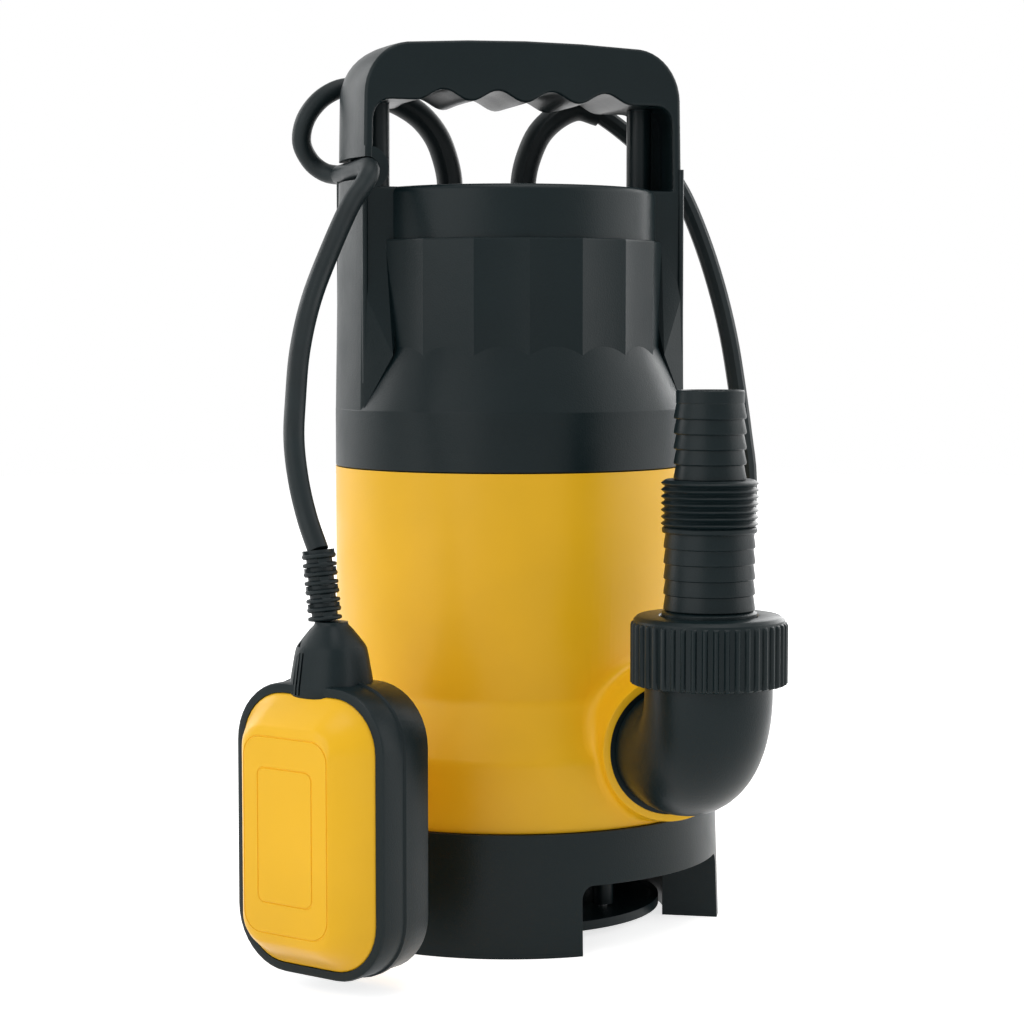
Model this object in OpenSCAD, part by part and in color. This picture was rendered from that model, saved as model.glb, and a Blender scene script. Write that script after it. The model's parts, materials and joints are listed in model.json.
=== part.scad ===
// Submersible sump pump with a float switch, a carrying handle and a swivelling discharge elbow.
// Sizes are millimetres. The floor is z = 0, the pump's axis is the Z axis and the front faces -Y.
// Angles called turn run from the front (-Y) towards the right (+X).

/* [Casing] */
// Outer radius of the casing's barrel
casing_r = 66; // [65:0.5:68]
// Wall of the casing
casing_wall = 2.6; // [2.2:0.1:3]
// Height of the casing
casing_h = 127; // [124:1:134]
// Outer radius of the casing's wide foot
skirt_r = 77; // [75.5:0.5:79]
// Height of the casing's wide foot
skirt_h = 25; // [22:0.5:28]
// Height of the cone between the foot and the barrel
flare_h = 20; // [16:0.5:24]

/* [Base] */
// Height of the base
base_h = 44; // [40:0.5:48]
// How far the base stands out past the casing's foot at the floor
base_flare = 3; // [2:0.5:5]
// Step between the casing's foot and the top edge of the base
base_lip = 1.4; // [0.6:0.1:2]
// Wall of the base
base_wall = 3; // [2.4:0.1:3.6]
// Radial depth of each leg
leg_depth = 21; // [18:0.5:22]
// Width of each inlet window, in degrees
window_deg = 60; // [50:1:66]
// Height of the inlet windows
window_h = 25; // [22:0.5:27]
// Corner radius of the inlet windows
window_round = 5; // [3:0.5:7]
// Turn of the middle of the front inlet window, in degrees
window_turn = 32; // [28:1:36]
// Thickness of the deck that closes the top of the base
deck_t = 4; // [3:0.5:5]
// Radius of the suction eye
eye_r = 19; // [16:0.5:22]

/* [Suction plate] */
// Radius of the suction plate
plate_r = 57; // [54:0.5:58]
// Height of the suction plate above the floor
plate_z = 3.2; // [3:0.1:6]
// Thickness of the suction plate's rim
plate_rim_t = 3.4; // [3:0.1:5]
// Radius of the posts that carry the suction plate
post_r = 4; // [3.6:0.1:5]
// Distance of the posts from the axis
post_pitch_r = 40; // [36:0.5:44]
// Turn of the first post, in degrees
post_turn = 44; // [38:1:50]
// Radius of the small screws' shanks
screw_r = 2; // [1.6:0.1:2.2]

/* [Volute and outlet] */
// Inner radius of the pump chamber
chamber_r = 52; // [49:0.5:53]
// Wall of the volute casing
volute_wall = 3; // [2.4:0.1:3.4]
// Height of the volute casing
volute_h = 54; // [52:0.5:57]
// Sideways offset of the outlet from the pump's axis
outlet_x = 36.5; // [35:0.5:38]
// Height of the outlet's axis above the base
outlet_rise = 29; // [28:0.5:30]
// Bore radius of the outlet tube
outlet_bore_r = 17.5; // [16.5:0.25:18]
// Distance of the outlet boss's face from the pump's axis
boss_reach = 80; // [78:0.5:86]
// Outer radius of the outlet boss at its face
boss_r = 26.5; // [26:0.25:27.5]
// How much wider the outlet boss is at its root
boss_flare = 5; // [3:0.5:7]
// Outer radius of the outlet tube's flange
flange_r = 23.7; // [22.5:0.1:24]

/* [Discharge] */
// Outer radius of the elbow's pipe
elbow_r = 22; // [20.5:0.25:22.5]
// Wall of the elbow
elbow_wall = 3; // [2.4:0.1:3.6]
// Bend radius of the elbow's centreline
bend_r = 25; // [24:0.5:30]
// Straight length of the elbow before its bend
elbow_neck = 9; // [8:0.5:14]
// Height of the elbow's riser above its bend
riser_h = 19; // [17:0.5:24]
// Radius of the riser's outside thread
riser_thread_r = 23.9; // [23.4:0.1:24.2]
// Outer radius of the union nut, over its ribs
nut_r = 27; // [26.6:0.1:29]
// Height of the union nut
nut_h = 23.5; // [21:0.5:26]
// Number of grip ribs on the union nut
nut_ribs = 44; // [30:1:50]

/* [Hose adapter] */
// Outer radius of the lower barbs, for a 32 mm hose
low_barb_r = 15.9; // [15.5:0.1:16.2]
// Spacing of the lower barbs
low_barb_pitch = 5.3; // [4.8:0.1:5.8]
// Outer radius of the pipe thread, G1
thread_r = 16.62; // [16.4:0.01:16.9]
// Pitch of the pipe thread
thread_pitch = 2.31; // [2:0.01:2.5]
// Outer radius of the upper barbs, for a 25 mm hose
top_barb_r = 12.5; // [12.2:0.1:13]
// Spacing of the upper barbs
top_barb_pitch = 5.2; // [4.8:0.1:5.8]
// Radius of the plain lead-in ring at the top
lead_r = 11.7; // [11.3:0.1:12]
// Length of the plain lead-in ring
lead_h = 4.5; // [3.5:0.1:6]
// Radius of the bore through the upper barbs
bore_r = 9.5; // [8.5:0.1:10]

/* [Top cover] */
// Height of the plain band above the casing
band_h = 21.7; // [20:0.1:24]
// Height of the cone above the band
cone_h = 20.1; // [18:0.1:23]
// Radius of the fluted column
column_r = 57.5; // [57:0.1:58.5]
// Height of the fluted column
column_h = 42.2; // [40:0.1:46]
// Angle from one flute to the next, in degrees
flute_deg = 20; // [15, 20, 24]
// Depth of the flutes
flute_depth = 0.5; // [0.3:0.1:1.2]
// Radius of the crown above the column
crown_r = 54.7; // [54:0.1:55.5]
// Height of the crown
crown_h = 19.2; // [17:0.1:22]
// Wall of the top cover
cover_wall = 3; // [2.6:0.1:3.2]

/* [Handle] */
// Height of the handle above the crown
handle_h = 54; // [50:0.5:60]
// Depth of the handle from front to back
handle_depth = 41; // [38:0.5:42]
// Thickness of the handle's bar at its ends
bar_t = 22.5; // [20:0.5:24]
// Corner radius of the handle
handle_round = 19; // [15:0.5:20]
// Thickness of the handle's outer straps
strap_t = 3.6; // [3:0.1:4.5]
// Radius of the posts inside the handle's legs
leg_post_r = 4.7; // [4:0.1:5]
// Distance of those posts from the pump's axis
leg_post_x = 51.6; // [50.5:0.1:52.5]
// Depth of the finger grooves
finger_depth = 6; // [4:0.5:7]
// Spacing of the finger grooves
finger_pitch = 22.5; // [20:0.5:23]

/* [Motor] */
// Radius of the motor shaft
shaft_r = 6; // [5.5:0.1:6.5]
// Outer radius of the stator
stator_r = 46; // [44:0.5:47]
// Radius of the rotor
rotor_r = 27; // [25:0.5:28]
// Air gap between rotor and stator
air_gap = 0.4; // [0.35:0.05:0.6]
// Overhang of the windings past the stack
winding_h = 14; // [11:0.5:15]
// Outer radius of the ball bearings
bearing_r = 16; // [15:0.5:17]
// Width of the ball bearings
bearing_w = 10; // [9:0.5:11]
// Wall of the motor can
can_wall = 2.4; // [2:0.1:2.8]
// Thickness of the seal plate between pump and motor
seal_plate_t = 8; // [7:0.5:9]

/* [Impeller] */
// Radius of the impeller
impeller_r = 42; // [38:0.5:44]
// Height of the impeller's blades
blade_h = 19; // [15:0.5:21]
// Number of blades
blade_count = 6; // [4:1:8]
// Thickness of the blades
blade_t = 3; // [2.4:0.1:3.6]

/* [Float] */
// Width of the float
float_w = 64; // [60:0.5:70]
// Height of the float
float_h = 98.4; // [92:0.2:100]
// Thickness of the float
float_t = 24.6; // [23.6:0.1:28]
// Corner radius of the float
float_round = 21; // [16:0.5:24]
// Width of the float's black frame, seen from the front
frame_w = 3.2; // [2.6:0.1:4.5]
// Wall of the float's yellow shells
shell_wall = 2.2; // [1.8:0.1:2.6]
// How far the flat field of each yellow shell stands out past the frame
crown_rise = 12; // [8:0.5:14]
// Width of the slanted margin round each flat field
crown_margin = 12; // [9:0.5:14]
// Height of the float's lower edge above the floor
float_z = 5.6; // [4.6:0.2:8]
// Radius of the steel ball inside the float
ball_r = 5.5; // [5:0.1:5.8]
// Travel of the ball
ball_travel = 24; // [16:1:28]

/* [Cables] */
// Radius of the float cable
float_cable_r = 3.65; // [3.5:0.05:3.7]
// Radius of the power cord
cord_r = 3.6; // [3.3:0.05:3.7]
// Radius of the bend protectors on both cables
sleeve_r = 5.25; // [5:0.05:5.4]
// Sideways distance of the cable glands from the pump's axis
gland_x = 15; // [14:0.5:16]
// Distance of the cable glands behind the pump's axis
gland_y = 31; // [30:0.5:32]
// Height of the cable glands
gland_h = 3.4; // [2.5:0.1:4]
// Mean radius of the coiled power cord
coil_r = 64.5; // [62:0.5:68]
// Cords side by side across the coil's bundle
coil_rows = 5; // [4:1:6]

/* [Clip] */
// Height of the cable clip above the crown
clip_rise = 6.6; // [6:0.1:9]
// Distance of the clip's axis from the pump's axis
clip_x = 60.2; // [60:0.1:60.6]
// Radius of the clip's channel
clip_r = 4; // [3.9:0.05:4.2]
// Wall around the clip's channel
clip_wall = 4; // [3:0.1:4.2]

/* [Plug] */
// Length of the plug's body
plug_l = 36; // [32:1:38]
// Width of the plug's body
plug_w = 26; // [24:0.5:30]
// Height of the plug's body
plug_h = 22; // [20:0.5:26]
// Length of the plug's blades
blade_pin_l = 17; // [15:0.5:18]

/* [Hidden] */

// Clearances
seat_gap = 0.1;    // between pieces that are fixed to each other
run_gap = 0.05;    // radial, in a bearing fit that turns or slides
free_gap = 0.3;    // between pieces that move past each other
cut = 1;           // how far a cutting tool runs past the face it opens

// Colours
black = "#2b3234";
yellow = "#f7c130";
rubber_black = "#1d2021";
steel = "#c9ccce";
dark_steel = "#6f757a";
copper = "#b8622f";
aluminium_grey = "#a9adb0";
ivory = "#d9d3c2";

// Heights
casing_top_z = base_h + casing_h;
flare_z = base_h + skirt_h;
barrel_z = flare_z + flare_h;
band_z = casing_top_z + band_h;
cone_z = band_z + cone_h;
column_z = cone_z + column_h;
crown_z = column_z + crown_h;
handle_z = crown_z + handle_h;
deck_z = base_h - deck_t;
outlet_z = base_h + outlet_rise;
volute_z = base_h + volute_h;
seal_plate_z = volute_z + seal_plate_t;

// Base
base_r = skirt_r + base_flare;
base_top_r = skirt_r + base_lip;
leg_r = base_r - leg_depth;
leg_deg = 120 - window_deg;
plate_top_z = plate_z + plate_rim_t;
nozzle_drop = 6;
nozzle_wall = 3;
base_screw_r = base_r - leg_depth / 2;
screw_boss_r = skirt_r - casing_wall - base_screw_r + casing_wall / 2;
screw_boss_h = 15;
boss_lift = 0.8;
pocket_roof = 3;
screw_head_h = 2.2;
plate_screw_l = 18;
corner_ease = 0.25; // the window's corner arcs meet its edges at a slight angle

// Outlet and elbow
tube_r = outlet_bore_r + volute_wall;
flange_t = 2.5;
flange_inset = 0.5;
spigot_l = 22;
spigot_r = outlet_bore_r - run_gap;
riser_y = -(boss_reach + elbow_neck + bend_r);
riser_z = outlet_z + bend_r;
riser_top_z = riser_z + riser_h;
thread_z = riser_z + 4;
nut_z = riser_z + 3;
gasket_t = 1.5;
adapter_z = riser_top_z + gasket_t + seat_gap;
nut_top_z = nut_z + nut_h;
nut_lip_t = 3;
adapter_flange_r = riser_thread_r - 0.5;
adapter_flange_t = nut_top_z - nut_lip_t - seat_gap - adapter_z;
adapter_neck_r = low_barb_r + 0.5;
barb_step = 1.3;
low_barbs = 5;
top_barbs = 5;
thread_ridges = 7;
low_barb_z = nut_top_z + 2;
thread_z0 = low_barb_z + low_barbs * low_barb_pitch;
thread_collar_h = 1.9;
thread_depth = 1.2;
top_barb_z = thread_z0 + thread_collar_h + thread_ridges * thread_pitch;
lead_z = top_barb_z + top_barbs * top_barb_pitch;
adapter_top_z = lead_z + lead_h;

// Motor
stack_room = 77; // height of the casing that the stack of laminations doesn't use
bearing_z = seal_plate_z + 3;
bearing_wall = 4;
stack_z = bearing_z + bearing_w + winding_h - 6;
stack_h = casing_h - stack_room;
stack_top_z = stack_z + stack_h;
end_ring_h = 4;
upper_bearing_z = stack_top_z + winding_h + 2;
bracket_z = upper_bearing_z + bearing_w - 2;
bracket_t = 4;
bracket_top_z = bracket_z + bracket_t;
can_r = stator_r + seat_gap + can_wall;
bolt_pitch_r = can_r + 3.2;
bolt_r = 1.8;
shaft_top_z = upper_bearing_z + bearing_w - 0.5;
race_t = 2.7;
ball_mid_r = (shaft_r + bearing_r) / 2;
bearing_ball_r = (bearing_r - shaft_r) / 2 - race_t - free_gap;
ball_count = 8;
thick_r = shaft_r + 3;
impeller_top_z = volute_z - 9;
impeller_disc_t = 3;
impeller_hub_r = shaft_r + 4;
seal_head_r = shaft_r + 5;
seal_seat_r = shaft_r + 6;
seal_seat_h = 5;
impeller_nut_h = 6;
capacitor_r = 15;
capacitor_h = 48;
capacitor_x = -22;

// Cover and handle
lip_h = 6;
seal_ring_h = 2;
handle_half = handle_depth / 2;
gusset_run = 6;
leg_web_y = 3;
bar_z = handle_z - bar_t;
clip_z = crown_z + clip_rise;

// Float: its frame has z up and its front along -y, before it is turned
float_x = -91;
float_y = -92.5;
float_turn = -53;
float_mid_z = float_z + float_h / 2;
shell_lift = 0.4;
field_y = float_t / 2 + shell_lift + crown_rise; // outer face of the shells' flat fields
track_wall = 1.5;
ball_low_z = -27;
plunger_r = 1.4;
plunger_l = 4;
switch_z = ball_low_z + ball_r + ball_travel + free_gap + plunger_l / 2;
collar_h = 20;
collar_low_r = 12.4;
collar_top_r = 10.4;
collar_neck_r = 5.4;
collar_t = 21;
bellows_top = [-94.4, -88.2, float_z + float_h + 44];
bellows_low = [float_x - 1.6, float_y + 2, float_z + float_h + collar_h + 1];
bellows_rings = 8;
bellows_r = 7;
bellows_core_r = 5;

// Cable routes, from the pump outwards
gland_top = crown_z + gland_h;
power_sleeve_route = [
    [gland_x, gland_y, crown_z - cover_wall], [gland_x, gland_y, crown_z + 6],
    [17, 31, 289], [21.5, 31, 298.5], [29, 31, 305.5], [37.5, 31, 309], [46, 30.5, 307]
];
coil_x = 50;
coil_y = 168;
coil_half = coil_rows * cord_r;
inner_turn_r = coil_r - coil_half + cord_r;
outer_turn_r = coil_r + coil_half - cord_r;
coil_in_turn = -20; // where the cord joins the coil's outermost turn, from +X
power_route = [
    [46, 30.5, 307], [54, 29.5, 301.5], [63, 28, 294], [71, 25.5, 286], [78, 23, 276],
    [85, 20.5, 259], [91, 18.5, 240], [96, 17.5, 220], [99.5, 17, 200], [102, 16, 181],
    [104, 15.5, 163], [105, 20, 140], [106, 28, 118], [107.5, 40, 96], [110, 55, 76],
    [113, 73, 59], [116.5, 94, 45.5], [120.5, 117, 36.5],
    [coil_x + outer_turn_r * cos(coil_in_turn), coil_y + outer_turn_r * sin(coil_in_turn), 2 * coil_half - cord_r]
];
tail_bend_r = 28;
tail_turn = -35; // direction of the tail's bend from the coil's middle
tail_x = coil_x + (inner_turn_r - tail_bend_r) * cos(tail_turn);
tail_y = coil_y + (inner_turn_r - tail_bend_r) * sin(tail_turn);
plug_x = tail_x - plug_l;
plug_y = tail_y + tail_bend_r;
tail_steps = 9;
tail_route = [
    for (i = [0:tail_steps]) let (a = 90 + (tail_turn - 90) * i / tail_steps, drop = (1 - cos(180 * i / tail_steps)) / 2)
        [tail_x + tail_bend_r * cos(a), tail_y + tail_bend_r * sin(a), plug_h / 2 + (cord_r - plug_h / 2) * drop]
];
float_sleeve_route = [
    [-gland_x, gland_y, crown_z - cover_wall], [-gland_x, gland_y, crown_z + 6],
    [-17, 31, 289], [-20.5, 31, 297], [-26.5, 31, 304], [-34.5, 31, 309], [-43, 30.5, 312]
];
float_upper_route = [
    [-43, 30.5, 312], [-51, 29, 314], [-59, 27, 313.5], [-67, 26.5, 309], [-72.5, 27.5, 301.5],
    [-73.5, 30, 293], [-69.5, 32, 286], [-64.5, 30.5, 282], [-clip_x, 26, clip_z],
    [-clip_x, handle_half, clip_z], [-clip_x, 0, clip_z], [-clip_x, -handle_half, clip_z],
    [-clip_x, -handle_half - 2.5, clip_z]
];
float_lower_route = [
    [-61.2, -27, 278.2], [-64.5, -30, 273], [-70, -33.5, 266], [-79, -41, 250], [-87.5, -48.5, 232.5],
    [-93.5, -57, 215], [-97, -65.5, 198], [-99, -72, 184.5], [-98.7, -77.5, 171],
    [-97, -83.2, 158.5], bellows_top
];

// Places a child at a radius and a turn
module at_turn(turn, r = 0) {
    rotate([0, 0, turn - 90]) translate([r, 0, 0]) children();
}

// Copies a child three times around the axis
module three_times() {
    for (i = [0:2]) rotate([0, 0, 120 * i]) children();
}

module ring(r_out, r_in, h) {
    difference() {
        cylinder(r = r_out, h = h);
        translate([0, 0, -cut]) cylinder(r = r_in, h = h + 2 * cut);
    }
}

// Cylinder along +Y that starts at the origin
module along_y(r, h, r_end = -1) {
    rotate([-90, 0, 0]) cylinder(r1 = r, r2 = r_end < 0 ? r : r_end, h = h);
}

// Rectangle with round corners, centred
module round_rect(w, h, r) {
    square([w - 2 * r, h], center = true);
    square([w, h - 2 * r], center = true);
    for (x = [-1, 1], y = [-1, 1]) translate([x * (w / 2 - r), y * (h / 2 - r)]) circle(r = r);
}

function arc(cx, cy, r, from, to, steps) =
    [for (i = [0:steps]) let (a = from + (to - from) * i / steps) [cx + r * cos(a), cy + r * sin(a)]];

function unit(v) = v / norm(v);
function heading(p, i) = unit(p[min(i + 1, len(p) - 1)] - p[max(i - 1, 0)]);
function square_to(v, t) = unit(v - (v * t) * t);
function side_vectors(p) = [
    for (i = 0, v = square_to([0.31, 0.87, 0.38], heading(p, 0)); i < len(p);
         i = i + 1, v = square_to(v, heading(p, i))) v
];

// Round cable swept along a route, whose first rings may be narrower
module cable(route, r, sides = 10, first_r = []) {
    side = side_vectors(route);
    points = [
        for (i = [0:len(route) - 1], k = [0:sides - 1])
            let (t = heading(route, i), a = 360 * k / sides, ring_r = i < len(first_r) ? first_r[i] : r)
                route[i] + ring_r * (cos(a) * side[i] + sin(a) * cross(t, side[i]))
    ];
    last = (len(route) - 1) * sides;
    faces = concat(
        [[for (k = [0:sides - 1]) k]],
        [[for (k = [sides - 1:-1:0]) last + k]],
        [for (i = [0:len(route) - 2], k = [0:sides - 1])
            let (a = i * sides + k, b = i * sides + (k + 1) % sides)
                [a, a + sides, b]],
        [for (i = [0:len(route) - 2], k = [0:sides - 1])
            let (a = i * sides + k, b = i * sides + (k + 1) % sides)
                [b, a + sides, b + sides]]
    );
    polyhedron(points = points, faces = faces, convexity = 6);
}

// Screw with a round head below and its shank upwards
module screw(shank_r, shank_l, head_r, head_h) {
    translate([0, 0, -head_h]) cylinder(r = head_r, h = head_h, $fn = 32);
    cylinder(r = shank_r, h = shank_l, $fn = 32);
}

// One revolved block with a deck, hollowed from below and cut by the windows
module base_strainer() {
    color(black) difference() {
        union() {
            rotate_extrude($fn = 128) polygon([
                [leg_r, 0], [base_r, 0], [base_top_r, base_h], [eye_r, base_h], [eye_r, deck_z - nozzle_drop],
                [eye_r + nozzle_wall, deck_z - nozzle_drop], [eye_r + nozzle_wall, deck_z], [leg_r, deck_z]
            ]);
            three_times() at_turn(post_turn, post_pitch_r) translate([0, 0, plate_top_z])
                cylinder(r = post_r, h = deck_z + deck_t / 2 - plate_top_z, $fn = 32);
        }
        three_times() at_turn(window_turn) window();
        three_times() {
            at_turn(window_turn + 60) pocket(leg_deg, -cut);
            at_turn(window_turn) pocket(window_deg, window_h - cut);
        }
        three_times() at_turn(post_turn, post_pitch_r) translate([0, 0, plate_top_z - cut])
            cylinder(r = screw_r + seat_gap, h = plate_screw_l - plate_rim_t + 2 * cut, $fn = 32);
        three_times() at_turn(window_turn + 60, base_screw_r) translate([0, 0, deck_z - pocket_roof - cut])
            cylinder(r = screw_r + seat_gap, h = deck_t + pocket_roof + 2 * cut, $fn = 32);
    }
}

// Hollow between the base's inner and outer walls, centred on its middle angle
module pocket(deg, z) {
    inset_deg = base_wall / base_screw_r * 180 / PI;
    rotate([0, 0, inset_deg - deg / 2]) rotate_extrude(angle = deg - 2 * inset_deg, $fn = 128)
        translate([leg_r + base_wall, z])
            square([leg_depth - 2 * base_wall - base_flare + base_lip, deck_z - pocket_roof - z]);
}

// Inlet window with round upper corners, centred on its middle angle
module window() {
    difference() {
        rotate([0, 0, -window_deg / 2]) rotate_extrude(angle = window_deg, $fn = 128)
            translate([leg_r - cut, -cut]) square([leg_depth + 2 * cut, window_h + cut]);
        for (s = [0, 1]) mirror([0, s, 0]) rotate([0, 0, -window_deg / 2])
            translate([leg_r - 3 * cut, 0, window_h - window_round]) rotate([90, 0, 90])
                linear_extrude(leg_depth + 6 * cut) difference() {
                    translate([-cut, corner_ease]) square(window_round - corner_ease + cut);
                    translate([window_round - corner_ease, corner_ease]) circle(r = window_round, $fn = 48);
                }
    }
}

module suction_plate() {
    color(black) difference() {
        rotate_extrude($fn = 128) polygon([
            [0, plate_z + 0.5], [plate_r - 4, plate_z + 0.5], [plate_r - 3, plate_z], [plate_r, plate_z],
            [plate_r, plate_top_z], [plate_r - 3, plate_top_z], [plate_r - 4, plate_top_z - 0.6],
            [eye_r + 12, plate_top_z - 0.6], [eye_r - 4, plate_top_z + 3], [0, plate_top_z + 4]
        ]);
        three_times() at_turn(post_turn, post_pitch_r) {
            cylinder(r = screw_r + seat_gap, h = plate_top_z + 2 * cut, $fn = 32);
            translate([0, 0, plate_top_z - 0.6]) cylinder(r = post_r + seat_gap, h = 5, $fn = 32);
        }
    }
}

module suction_plate_screws() {
    color(steel) three_times() at_turn(post_turn, post_pitch_r)
        translate([0, 0, plate_z + 0.5]) screw(screw_r, plate_screw_l, screw_r * 1.9, screw_head_h);
}

module base_screws() {
    color(steel) three_times() at_turn(window_turn + 60, base_screw_r)
        translate([0, 0, deck_z - pocket_roof])
            screw(screw_r, deck_t + pocket_roof + screw_boss_h - 4, screw_r * 1.9, screw_head_h);
}

module outer_casing() {
    color(yellow) {
        difference() {
            union() {
                rotate_extrude($fn = 128) casing_outline(0, 0);
                intersection() {
                    translate([outlet_x, -boss_reach, outlet_z])
                        along_y(boss_r, boss_reach / 2, boss_r + boss_flare, $fn = 96);
                    translate([-boss_reach, -boss_reach, base_h]) cube(2 * boss_reach);
                }
            }
            rotate_extrude($fn = 128) casing_outline(casing_wall, cut);
            translate([outlet_x, -boss_reach - cut, outlet_z]) {
                along_y(tube_r + seat_gap, boss_reach, $fn = 96);
                along_y(flange_r + seat_gap, flange_t + flange_inset + seat_gap + cut, $fn = 96);
            }
        }
        // The bosses stay clear of the deck, so that the casing's rim is what seats on it
        three_times() at_turn(window_turn + 60, base_screw_r) translate([0, 0, base_h + boss_lift]) difference() {
            cylinder(r = screw_boss_r, h = screw_boss_h - boss_lift, $fn = 48);
            translate([0, 0, -cut]) cylinder(r = screw_r + seat_gap, h = screw_boss_h - 2, $fn = 32);
        }
    }
}

// Half section of the casing, set in by a wall and run past its ends
module casing_outline(inset, over) {
    polygon([
        [0, base_h - over], [skirt_r - inset, base_h - over], [skirt_r - inset, flare_z],
        [casing_r - inset, barrel_z], [casing_r - inset, casing_top_z + over], [0, casing_top_z + over]
    ]);
}

module top_cover() {
    color(black) difference() {
        union() {
            cover_core();
            intersection() {
                translate([0, 0, casing_top_z]) cylinder(r = casing_r, h = crown_z - casing_top_z, $fn = 128);
                translate([-casing_r, -handle_half, casing_top_z])
                    cube([2 * casing_r, handle_depth, crown_z - casing_top_z]);
            }
            for (x = [0, 1], y = [0, 1]) mirror([x, 0, 0]) mirror([0, y, 0]) gusset();
            handle();
            cover_lip();
        }
        rotate_extrude($fn = 128) polygon([
            [0, casing_top_z - lip_h - cut], [casing_r - 2 * cover_wall, casing_top_z - lip_h - cut],
            [casing_r - 2 * cover_wall, casing_top_z], [casing_r - cover_wall, casing_top_z + cover_wall],
            [casing_r - cover_wall, band_z - cover_wall / 2], [column_r - cover_wall, cone_z - cover_wall / 2],
            [crown_r - cover_wall, cone_z + cover_wall], [crown_r - cover_wall, crown_z - cover_wall],
            [0, crown_z - cover_wall]
        ]);
        for (x = [-1, 1]) translate([x * gland_x, gland_y, crown_z - cover_wall - cut])
            cylinder(r = sleeve_r + 0.2, h = cover_wall + 2 * cut, $fn = 48);
        clip_channel();
    }
}

// Band, cone, fluted column and crown, as one solid
module cover_core() {
    rotate_extrude($fn = 128) polygon(concat(
        [[0, casing_top_z], [casing_r, casing_top_z], [casing_r, band_z],
         [crown_r, band_z + (casing_r - crown_r) * cone_h / (casing_r - column_r)]],
        [[crown_r, crown_z - 2.5]], arc(crown_r - 2.5, crown_z - 2.5, 2.5, 0, 90, 5), [[0, crown_z]]
    ));
    flute_half = flute_deg / 2;
    // The flute's circle passes through two ridges of the column and dips by flute_depth between them
    chord = column_r * sin(flute_half);
    sag = flute_depth;
    flute_r = (chord * chord + sag * sag) / (2 * sag);
    difference() {
        translate([0, 0, cone_z - cone_h / 2]) cylinder(r = column_r, h = column_h + cone_h / 2, $fn = 128);
        for (i = [0:360 / flute_deg - 1])
            at_turn(i * flute_deg, column_r * cos(flute_half) - sag + flute_r)
                translate([0, 0, band_z]) cylinder(r = flute_r, h = column_z, $fn = 96);
    }
}

// Slanted web between a pillar's front face and the foot of the column
module gusset() {
    edge_x = sqrt(casing_r * casing_r - handle_half * handle_half) - 0.4;
    front = -handle_half;
    back = front + 3;
    hull() polyhedron(
        points = [
            [edge_x, front - 0.8, band_z + 0.5], [column_r - 5, front - gusset_run, cone_z],
            [column_r - 4, front + 0.1, column_z - 3], [edge_x, front + 0.1, cone_z + 24],
            [edge_x - 2, back, band_z + 2], [column_r - 10, back, band_z + 4], [column_r - 10, back, column_z - 4],
            [edge_x - 2, back, cone_z + 22]
        ],
        faces = [[0, 1, 2], [0, 2, 3], [4, 5, 6], [4, 6, 7]]
    );
}

// Thin ring inside the casing that centres the cover, with a groove for its seal
module cover_lip() {
    lip_r = casing_r - casing_wall - seat_gap;
    difference() {
        translate([0, 0, casing_top_z - lip_h]) cylinder(r = lip_r, h = lip_h + cut, $fn = 128);
        translate([0, 0, casing_top_z - lip_h / 2 - seal_ring_h / 2 - seat_gap])
            ring(casing_r, lip_r - 1.2, seal_ring_h + 2 * seat_gap, $fn = 128);
    }
}

module cover_seal() {
    lip_r = casing_r - casing_wall - seat_gap;
    color(rubber_black) translate([0, 0, casing_top_z - lip_h / 2 - seal_ring_h / 2])
        ring(lip_r, lip_r - 1.1, seal_ring_h, $fn = 128);
}

// Bar with finger grooves, outer straps, leg posts and the cable clip
module handle() {
    intersection() {
        union() {
            difference() {
                handle_slab(handle_depth) handle_outline();
                intersection() {
                    handle_slab(handle_depth + 2 * cut) grip_opening();
                    translate([0, 0, band_z]) cylinder(r = casing_r - strap_t, h = handle_z, $fn = 128);
                }
            }
            for (x = [-1, 1]) {
                translate([x * leg_post_x, 0, crown_z - 2]) cylinder(r = leg_post_r, h = handle_h - 6, $fn = 48);
                translate([x * (leg_post_x + casing_r) / 2, leg_web_y, crown_z + (handle_h - 10) / 2])
                    cube([casing_r - leg_post_x, strap_t, handle_h - 8], center = true);
            }
            translate([-clip_x, -handle_half, clip_z]) along_y(clip_r + clip_wall, handle_depth, $fn = 64);
        }
        translate([0, 0, band_z]) cylinder(r = casing_r, h = handle_z, $fn = 128);
    }
}

// Half width of a groove's wave, and the underside of the bar
function underside(x) =
    bar_z + finger_depth / 2 * (1 - cos(360 * (x / finger_pitch))) * (abs(x) <= 2 * finger_pitch ? 1 : 0);

// Extrudes an outline drawn in the handle's front view, centred from front to back
module handle_slab(depth) {
    translate([0, depth / 2, 0]) rotate([90, 0, 0]) linear_extrude(depth) children();
}

module handle_outline() {
    polygon(concat(
        [[casing_r, crown_z - 3]],
        arc(casing_r - handle_round, handle_z - handle_round - 1.5, handle_round, 0, 84, 8),
        [[24, handle_z - 0.4], [0, handle_z], [-24, handle_z - 0.4]],
        arc(handle_round - casing_r, handle_z - handle_round - 1.5, handle_round, 96, 180, 8),
        [[-casing_r, crown_z - 3]]
    ));
}

// Opening under the bar: its sides are cut by a cylinder, so that the straps keep their thickness
module grip_opening() {
    inner = casing_r - strap_t;
    corner = 7;
    polygon(concat(
        [[-inner, crown_z - 3 - cut]],
        arc(corner - inner, bar_z - corner, corner, 180, 90, 4),
        [for (i = [-24:24]) let (x = i * finger_pitch / 12) [x, underside(x)]],
        arc(inner - corner, bar_z - corner, corner, 90, 0, 4),
        [[inner, crown_z - 3 - cut]]
    ));
}

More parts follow.
